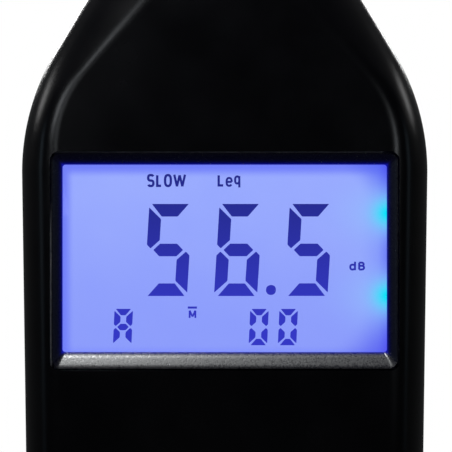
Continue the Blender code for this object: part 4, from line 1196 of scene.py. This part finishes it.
def keypad_label():
    """Overlay sheet with windows for the keys, and a printed line round it."""
    low, high = limits("keypad_overlay")
    centre = (0.0, (low.z + high.z) / 2)
    half = ((high.x - low.x) / 2, (high.z - low.z) / 2)
    front = low.y + 0.03
    levels = [(*half, 3.0, high.y), (*half, 3.0, front + 0.08)]
    levels.append((half[0] - 0.08, half[1] - 0.08, 2.92, front))
    obj = solid("keypad_sheet", stack(levels, centre))
    combine(obj, "DIFFERENCE", key_windows(-13.0, -11.0))
    finish_piece(obj, LABEL, replaces=("keypad_overlay",), weighted=True)
    outer = (half[0] - 1.2, half[1] - 1.2, 2.0)
    inner = (half[0] - 1.5, half[1] - 1.5, 1.7)
    near, far = front - 0.02, front + 0.01
    levels = [(*outer, far), (*outer, near), (*inner, near), (*inner, far)]
    obj = solid("keypad_line", stack(levels, centre, closed=True))
    finish_piece(obj, LABEL_LINE)


# Microphone


def turned(name, node, profile, rounding, material, slot, steps=96, closed=True, shift=None):
    """A finished piece turned about the neck's axis, in place of a node."""
    shape = lathe(softened(profile, rounding, closed=closed), steps=steps, closed=closed, shift=shift)
    finish_piece(solid(name, shape), material, replaces=(node,))


def microphone():
    """Grommet, knurled ring, tube, capsule and slotted grid."""
    low, high = limits("neck_grommet")
    bore = 6.65
    profile = [(high.x, high.z), (high.x, NECK_TOP + 0.3), (7.5, NECK_TOP + 0.3), (7.5, low.z)]
    profile += [(bore, low.z), (bore, high.z)]
    turned("neck_seal", "neck_grommet", profile, 0.45, RUBBER, "rubber")

    low, high = limits("neck_collar")
    profile = [(8.0, high.z), (9.4, low.z + 1.9), (9.4, low.z), (bore, low.z), (bore, high.z)]

    def knurl(radius, height, angle):
        flat = ease(radius, 9.2, 9.35)
        return radius - 0.16 * flat * (0.5 - 0.5 * math.cos(48 * angle))

    turned("knurled_ring", "neck_collar", profile, 0.25, STEEL, "steel", steps=288, shift=knurl)

    low, high = limits("mic_tube")
    inner = high.x - 0.8
    profile = [(high.x, high.z), (high.x, low.z), (inner, low.z), (inner, high.z)]
    turned("preamp_tube", "mic_tube", profile, 0.2, STEEL, "steel")

    low, high = limits("mic_capsule")
    r = high.x
    foot = low.z + 3.0
    profile = [(0.0, 226.0), (5.9, 226.0), (5.9, high.z), (r, high.z)]
    for groove in (high.z - 1.2, high.z - 2.0):
        profile += [(r, groove + 0.2), (r - 0.25, groove + 0.1)]
        profile += [(r - 0.25, groove - 0.1), (r, groove - 0.2)]
    profile += [(r, foot), (high.x - 1.35, foot), (high.x - 1.35, low.z), (0.0, low.z)]
    turned("capsule_body", "mic_capsule", profile, 0.12, NICKEL, "nickel", closed=False)

    low, high = limits("mic_grid")
    inner = r - 0.7
    profile = [(0.0, high.z), (4.9, high.z), (r, high.z - 1.1), (r, low.z), (inner, low.z)]
    profile += [(inner, high.z - 0.8), (0.0, high.z - 0.8)]
    obj = solid("protection_grid", lathe(softened(profile, 0.5), steps=96))
    slots = []
    for i in range(12):
        reach = (1.5, 4.6) if i % 2 else (2.6, 4.6)
        way = Vector((math.cos(i * math.pi / 6), math.sin(i * math.pi / 6), 0.0))
        side = Vector((-way.y, way.x, 0.0))
        slots.append(grid_slot(way, side, reach, (high.z - 2.0, high.z + 1.0)))
    combine(obj, "DIFFERENCE", slots)
    rounds = []
    for i in range(16):
        angle = 2 * math.pi * (i + 0.5) / 16
        way = Vector((math.cos(angle), math.sin(angle), 0.0))
        middle_z = Vector((0.0, 0.0, low.z + 1.6))
        rounds.append(rod(0.45, way * (inner - 1.0) + middle_z, way * (r + 1.0) + middle_z, sides=16))
    combine(obj, "DIFFERENCE", rounds)
    finish_piece(obj, NICKEL, replaces=("mic_grid",), weighted=True)


def grid_slot(way, side, reach, heights, half=0.36, count=8):
    """Round-ended slot that runs out from the axis."""
    outline = []
    for end, start in ((reach[1], -90), (reach[0], 90)):
        for i in range(count + 1):
            angle = math.radians(start + 180 * i / count)
            outline.append(way * (end + half * math.cos(angle)) + side * half * math.sin(angle))
    shape = bmesh.new()
    rows = []
    for height in heights:
        rows.append([shape.verts.new(point + Vector((0, 0, height))) for point in outline])
    ring_faces(shape, *rows)
    for row in rows:
        shape.faces.new(row)
    return outward(shape)


# Fittings and fasteners


def threaded_insert():
    """Brass insert whose bore has a 1/4-20 thread."""
    low, high = limits("tripod_insert")
    outer, mean, pitch = high.x, 3.0, 1.27
    rows = 48
    profile = [(outer, high.y - 0.15), (outer, low.y + 0.2), (outer - 0.2, low.y)]
    profile += [(mean, mix(low.y, high.y - 0.35, i / rows)) for i in range(rows + 1)]
    profile += [(mean + 0.45, high.y), (outer - 0.15, high.y)]

    def thread(radius, height, angle):
        if abs(radius - mean) > 1e-6:
            return radius
        phase = (height / pitch + angle / (2 * math.pi)) % 1.0
        return mean + 0.3 * (abs(2 * phase - 1) * 2 - 1)

    shape = lathe(profile, (0, 0, TRIPOD_Z), (0, 1, 0), steps=48, closed=True, shift=thread)
    finish_piece(solid("thread_insert", shape), BRASS, replaces=("tripod_insert",), sharp=50.0)


def screw(name, place, profile, cross, depth):
    """A screw along Y with a cross recess in its head."""
    head = lathe(softened(profile, 0.3), (place.x, 0.0, place.z), (0, 1, 0), steps=40)
    obj = solid(f"{name}_head", head)
    top = max(height for _, height in profile)
    for turn in (20, 110):
        along = Vector((math.cos(math.radians(turn)), 0.0, math.sin(math.radians(turn))))
        across = Vector((-along.z, 0.0, along.x))
        outline = []
        for a, b in ((1, 1), (-1, 1), (-1, -1), (1, -1)):
            point = along * a * cross + across * b * 0.24
            outline.append((place.x + point.x, place.z + point.z))
        combine(obj, "DIFFERENCE", [prism(outline, top - depth, top + 1.0)])
    finish_piece(obj, ZINC, replaces=(name,))


def screws():
    """The casing's screws, in deep holes in its back, and the board's shorter ones."""
    for i in (1, 2, 3, 4):
        name = f"case_screw_{i}"
        low, high = limits(name)
        profile = [(0.0, high.y), (1.7, high.y - 0.1), (2.3, high.y - 0.7), (2.3, 9.8), (1.1, 9.8)]
        profile += [(1.1, low.y + 0.9), (0.4, low.y), (0.0, low.y)]
        screw(name, middle(name), profile, 1.3, 0.9)
    for i in (1, 2, 3):
        name = f"board_screw_{i}"
        low, high = limits(name)
        profile = [(0.0, high.y), (1.5, high.y - 0.1), (2.0, high.y - 0.5), (2.0, high.y - 1.0)]
        profile += [(0.9, high.y - 1.0), (0.9, low.y + 0.6), (0.0, low.y)]
        screw(name, middle(name), profile, 1.1, 0.6)


def output_jack():
    """Jack with a chamfered barrel, and its body on the board."""
    low, high = limits("data_jack")
    wall_end = -27.6
    obj = solid("jack_body", slab((-28.0, low.y, low.z), (high.x, high.y, high.z), corner=0.4, edge=0.3))
    profile = [(0.0, 0.0), (3.0, 0.0), (3.0, low.x - wall_end), (0.0, low.x - wall_end)]
    profile = [(radius, -height) for radius, height in profile][::-1]
    barrel = lathe(softened(profile, 0.3), (wall_end, PORT_Y, PORT_Z), (-1, 0, 0), steps=64)
    combine(obj, "UNION", [barrel])
    combine(obj, "DIFFERENCE", [rod(1.8, (-18.5, PORT_Y, PORT_Z), (-33.0, PORT_Y, PORT_Z), sides=48)])
    finish_piece(obj, CHIP, replaces=("data_jack",), weighted=True)
    profile = [(2.6, 0.35), (2.6, 0.0), (1.85, 0.0), (1.85, 0.35)]
    mouth = (low.x + 0.36, PORT_Y, PORT_Z)
    ring = lathe(softened(profile, 0.08, closed=True), mouth, (-1, 0, 0), closed=True)
    finish_piece(solid("jack_ring", ring), NICKEL)


def trimmer_screw():
    """Slotted brass screw that turns the calibration trimmer."""
    low, high = limits("cal_trimmer_screw")
    profile = [(0.0, high.x - low.x), (1.2, high.x - low.x), (1.2, 0.0), (0.0, 0.0)]
    head = lathe(softened(profile, 0.15), (low.x, PORT_Y, PORT_Z), (1, 0, 0), steps=40)
    obj = solid("trimmer_head", head)
    slot = (high.x - 0.6, PORT_Y - 0.22, PORT_Z - 2), (29.5, PORT_Y + 0.22, PORT_Z + 2)
    combine(obj, "DIFFERENCE", [slab(*slot, corner=0.01)])
    finish_piece(obj, BRASS, "cal_trimmer_screw", ("cal_trimmer_screw",))


# Battery compartment


def cells():
    """AAA cells: a steel can with a nub, a dark sleeve and a copper-coloured band."""
    for i in range(1, 5):
        name = f"cell_{i}"
        low, high = limits(name)
        place = middle(name)
        upright = i % 2 == 1
        radius = (high.x - low.x) / 2
        length = high.z - low.z
        body = length - 0.8
        band = body - 9.0
        at = (place.x, place.y, low.z if upright else high.z)
        towards = (0, 0, 1) if upright else (0, 0, -1)
        skin = radius - 0.08
        profile = [(0.0, length), (1.75, length), (1.9, length - 0.15), (1.9, body + 0.1)]
        profile += [(2.3, body + 0.02)]
        profile += [(4.3, body + 0.02), (4.5, body - 0.25), (skin, body - 0.5), (skin, 0.4), (4.6, 0.05)]
        profile += [(4.3, 0.3), (3.9, 0.0), (0.0, 0.0)]
        can = lathe(profile, at, towards, steps=48)
        finish_piece(solid(f"{name}_can", can), NICKEL, replaces=(name,))
        for part, start, end, material in (
            ("sleeve", 0.3, band, SLEEVE),
            ("band", band + 0.02, body - 0.3, SLEEVE_BAND),
        ):
            profile = [(radius, end - 0.15), (radius, start + 0.15), (radius - 0.3, start)]
            profile += [(skin, start + 0.2), (skin, end - 0.2), (radius - 0.3, end)]
            ring = lathe(profile, at, towards, steps=48, closed=True)
            finish_piece(solid(f"{name}_{part}", ring), material)


CONTACTS = {
    "contact_positive": (None, 1),
    "contact_bridge_left": (1, None),
    "contact_bridge_top": (2, None),
    "contact_bridge_right": (3, None),
    "contact_negative": (4, 4),
}


def contacts():
    """Spring-steel plates with conical coils and solder tabs."""
    thick = 0.4
    for name, (spring, tab) in CONTACTS.items():
        low, high = limits(name)
        top = middle(name).z > 40
        foot = TRAY_Z[1] - 0.3 - thick if top else TRAY_Z[0] + 0.3
        shapes = [slab((low.x, low.y, foot), (high.x, TRAY_FLOOR + 10.0, foot + thick), corner=0.15)]
        if spring:
            place = middle(f"cell_{spring}")
            way = -1 if top else 1
            start = foot if top else foot + thick
            points = []
            turns = 3.2
            for i in range(int(turns * 20) + 1):
                share = i / (turns * 20)
                angle = 2 * math.pi * turns * share
                r = mix(3.3, 1.9, share)
                rise = mix(0.15, 2.65, share)
                x, y = place.x + r * math.cos(angle), place.y + r * math.sin(angle)
                points.append((x, y, start + way * rise))
            shapes.append(tube(points, 0.25, sides=8))
        if tab:
            place = middle(f"cell_{tab}")
            low_tab = (place.x - 1.5, TRAY_FLOOR + 0.9, foot + 0.1)
            shapes.append(slab(low_tab, (place.x + 1.5, TRAY_FLOOR + 1.3, high.z), corner=0.4))
        finish_piece(solid(f"{name}_plate", merged(shapes)), NICKEL, replaces=(name,))


# Inner nodes that keep their CAD shape

KEPT = (
    (WHITE, ("lcd_glass", "lcd_holder", "light_guide", "reflector_sheet", "mic_insulator")),
    (WHITE, ("backlight_led_upper", "backlight_led_lower")),
    (SILICONE, ("zebra_strip", "key_mat")),
    (BOARD, ("main_board", "preamp_board")),
    (CHIP, ("microcontroller", "amplifier_chip", "capacitor_left", "capacitor_right")),
    (STEEL, ("crystal",)),
    (TRIMMER, ("cal_trimmer",)),
    (BRASS, ("mic_backplate",)),
    (NICKEL, ("mic_diaphragm",)),
    (BLACK_SLEEVE, ("mic_cable", "battery_lead_black")),
    (RED_SLEEVE, ("battery_lead_red",)),
)


def finish_kept_nodes():
    """Gives these nodes their materials."""
    for material, names in KEPT:
        for name in names:
            mesh = frame["nodes"][name].data
            mesh.materials.clear()
            mesh.materials.append(material)


# Stage


def stage_floor():
    """Pale floor. What it throws back at the black casing is kept low."""
    shape = bmesh.new()
    bmesh.ops.create_circle(shape, cap_ends=True, segments=96, radius=1.5)
    floor = solid("floor", shape)
    made = Nodes("floor")
    made.set(Base_Color=(0.86, 0.87, 0.88, 1.0), Roughness=0.8, Specular_IOR_Level=0.1)
    dark = made.add("ShaderNodeBsdfDiffuse")
    made.put(dark.inputs["Color"], (0.03, 0.03, 0.03, 1.0))
    blend = made.add("ShaderNodeMixShader")
    made.put(blend.inputs["Fac"], made.add("ShaderNodeLightPath").outputs["Is Camera Ray"])
    made.put(blend.inputs[1], dark.outputs[0])
    made.put(blend.inputs[2], made.shader.outputs[0])
    made.put(made.tree.nodes["Material Output"].inputs["Surface"], blend.outputs[0])
    floor.data.materials.append(made.material)


def sky():
    """White to the camera; to the object, dim in front and brighter round the sides."""
    world = bpy.data.worlds.new("studio")
    bpy.context.scene.world = world
    world.use_nodes = True
    tree = world.node_tree
    tree.nodes.clear()
    add, link = tree.nodes.new, tree.links.new
    place = add("ShaderNodeTexCoord")
    axes = add("ShaderNodeSeparateXYZ")
    link(place.outputs["Generated"], axes.inputs[0])
    spread = add("ShaderNodeMapRange")
    spread.interpolation_type = "SMOOTHSTEP"
    link(axes.outputs["Y"], spread.inputs["Value"])
    for socket, number in zip(spread.inputs[1:5], (-0.75, 0.5, 0.002, 0.05)):
        socket.default_value = number
    seen = add("ShaderNodeBackground")
    seen.inputs["Color"].default_value = (1.0, 1.0, 1.0, 1.0)
    felt = add("ShaderNodeBackground")
    felt.inputs["Color"].default_value = (0.93, 0.97, 1.0, 1.0)
    link(spread.outputs["Result"], felt.inputs["Strength"])
    rays = add("ShaderNodeLightPath")
    blend = add("ShaderNodeMixShader")
    link(rays.outputs["Is Camera Ray"], blend.inputs["Fac"])
    link(felt.outputs[0], blend.inputs[1])
    link(seen.outputs[0], blend.inputs[2])
    out = add("ShaderNodeOutputWorld")
    link(blend.outputs[0], out.inputs["Surface"])


def softbox(name, place, aim, size, power, colour=(1.0, 1.0, 1.0)):
    """Rectangular light, with places in metres."""
    light = bpy.data.lights.new(name, "AREA")
    light.shape = "RECTANGLE"
    light.size, light.size_y = size
    light.energy = power
    light.color = colour
    obj = bpy.data.objects.new(name, light)
    obj.location = place
    obj.rotation_euler = (Vector(aim) - Vector(place)).to_track_quat("-Z", "Y").to_euler()
    obj.visible_camera = False
    bpy.context.scene.collection.objects.link(obj)


def lights():
    """Overhead light that the frame's lower slope mirrors, small near lights for the ridge
    beside the flat face, and softboxes for the flanks and the rear."""
    aim = (0.0, 0.0, 0.13)
    cool = (0.90, 0.95, 1.0)
    softbox("overhead", (-0.045, -0.102, 0.34), aim, (0.04, 0.05), 0.66, (0.98, 1.0, 1.0))
    for name, place, power in (
        ("left_low", (-0.055, -0.13, 0.150), 0.0038),
        ("left_middle", (-0.085, -0.11, 0.165), 0.0105),
        ("left_high", (-0.065, -0.13, 0.200), 0.0074),
        ("right_low", (0.080, -0.13, 0.138), 0.0068),
    ):
        softbox(name, place, (0.3 * place[0], 0.0, 0.135), (0.02, 0.03), power, cool)
    softbox("left_rim", (-0.42, 0.14, 0.30), aim, (0.08, 0.12), 0.106)
    softbox("right_rim", (0.42, 0.14, 0.30), aim, (0.08, 0.12), 0.100)
    softbox("left_side", (-0.42, -0.13, 0.157), aim, (0.10, 0.10), 0.017, (0.62, 0.82, 1.0))
    softbox("right_side", (0.42, -0.13, 0.157), aim, (0.10, 0.10), 0.012, (0.62, 0.82, 1.0))
    softbox("top_rear", (0.10, 0.55, 1.05), aim, (0.8, 0.5), 26.0)
    softbox("left_rear", (-0.28, 0.95, 0.50), aim, (0.30, 0.35), 4.0)
    softbox("right_rear", (0.28, 0.95, 0.50), aim, (0.30, 0.35), 3.0)


def camera():
    """Square on to the display, far off with a long lens, framing 70.3 mm."""
    data = bpy.data.cameras.new("camera")
    data.sensor_width = 36.0
    data.lens = 1600.0
    shown = 70.3
    distance = shown / data.sensor_width * data.lens
    obj = bpy.data.objects.new("camera", data)
    face = -FRONT_DEPTH
    obj.location = Vector((0.2, face - distance, WINDOW.z + 5.05)) * MM
    obj.rotation_euler = (math.radians(90.0), 0.0, 0.0)
    data.clip_start, data.clip_end = 0.1, 40.0
    bpy.context.scene.collection.objects.link(obj)
    bpy.context.scene.camera = obj


bpy.context.scene.view_settings.view_transform = "Standard"
for build in (
    camera, front_shell, rear_shell, seam_lip, battery_door, bezel, display_glow, read_out,
    key_caps, keypad_label, microphone, threaded_insert, screws, output_jack, trimmer_screw,
    cells, contacts, finish_kept_nodes, stage_floor, sky, lights,
):
    build()
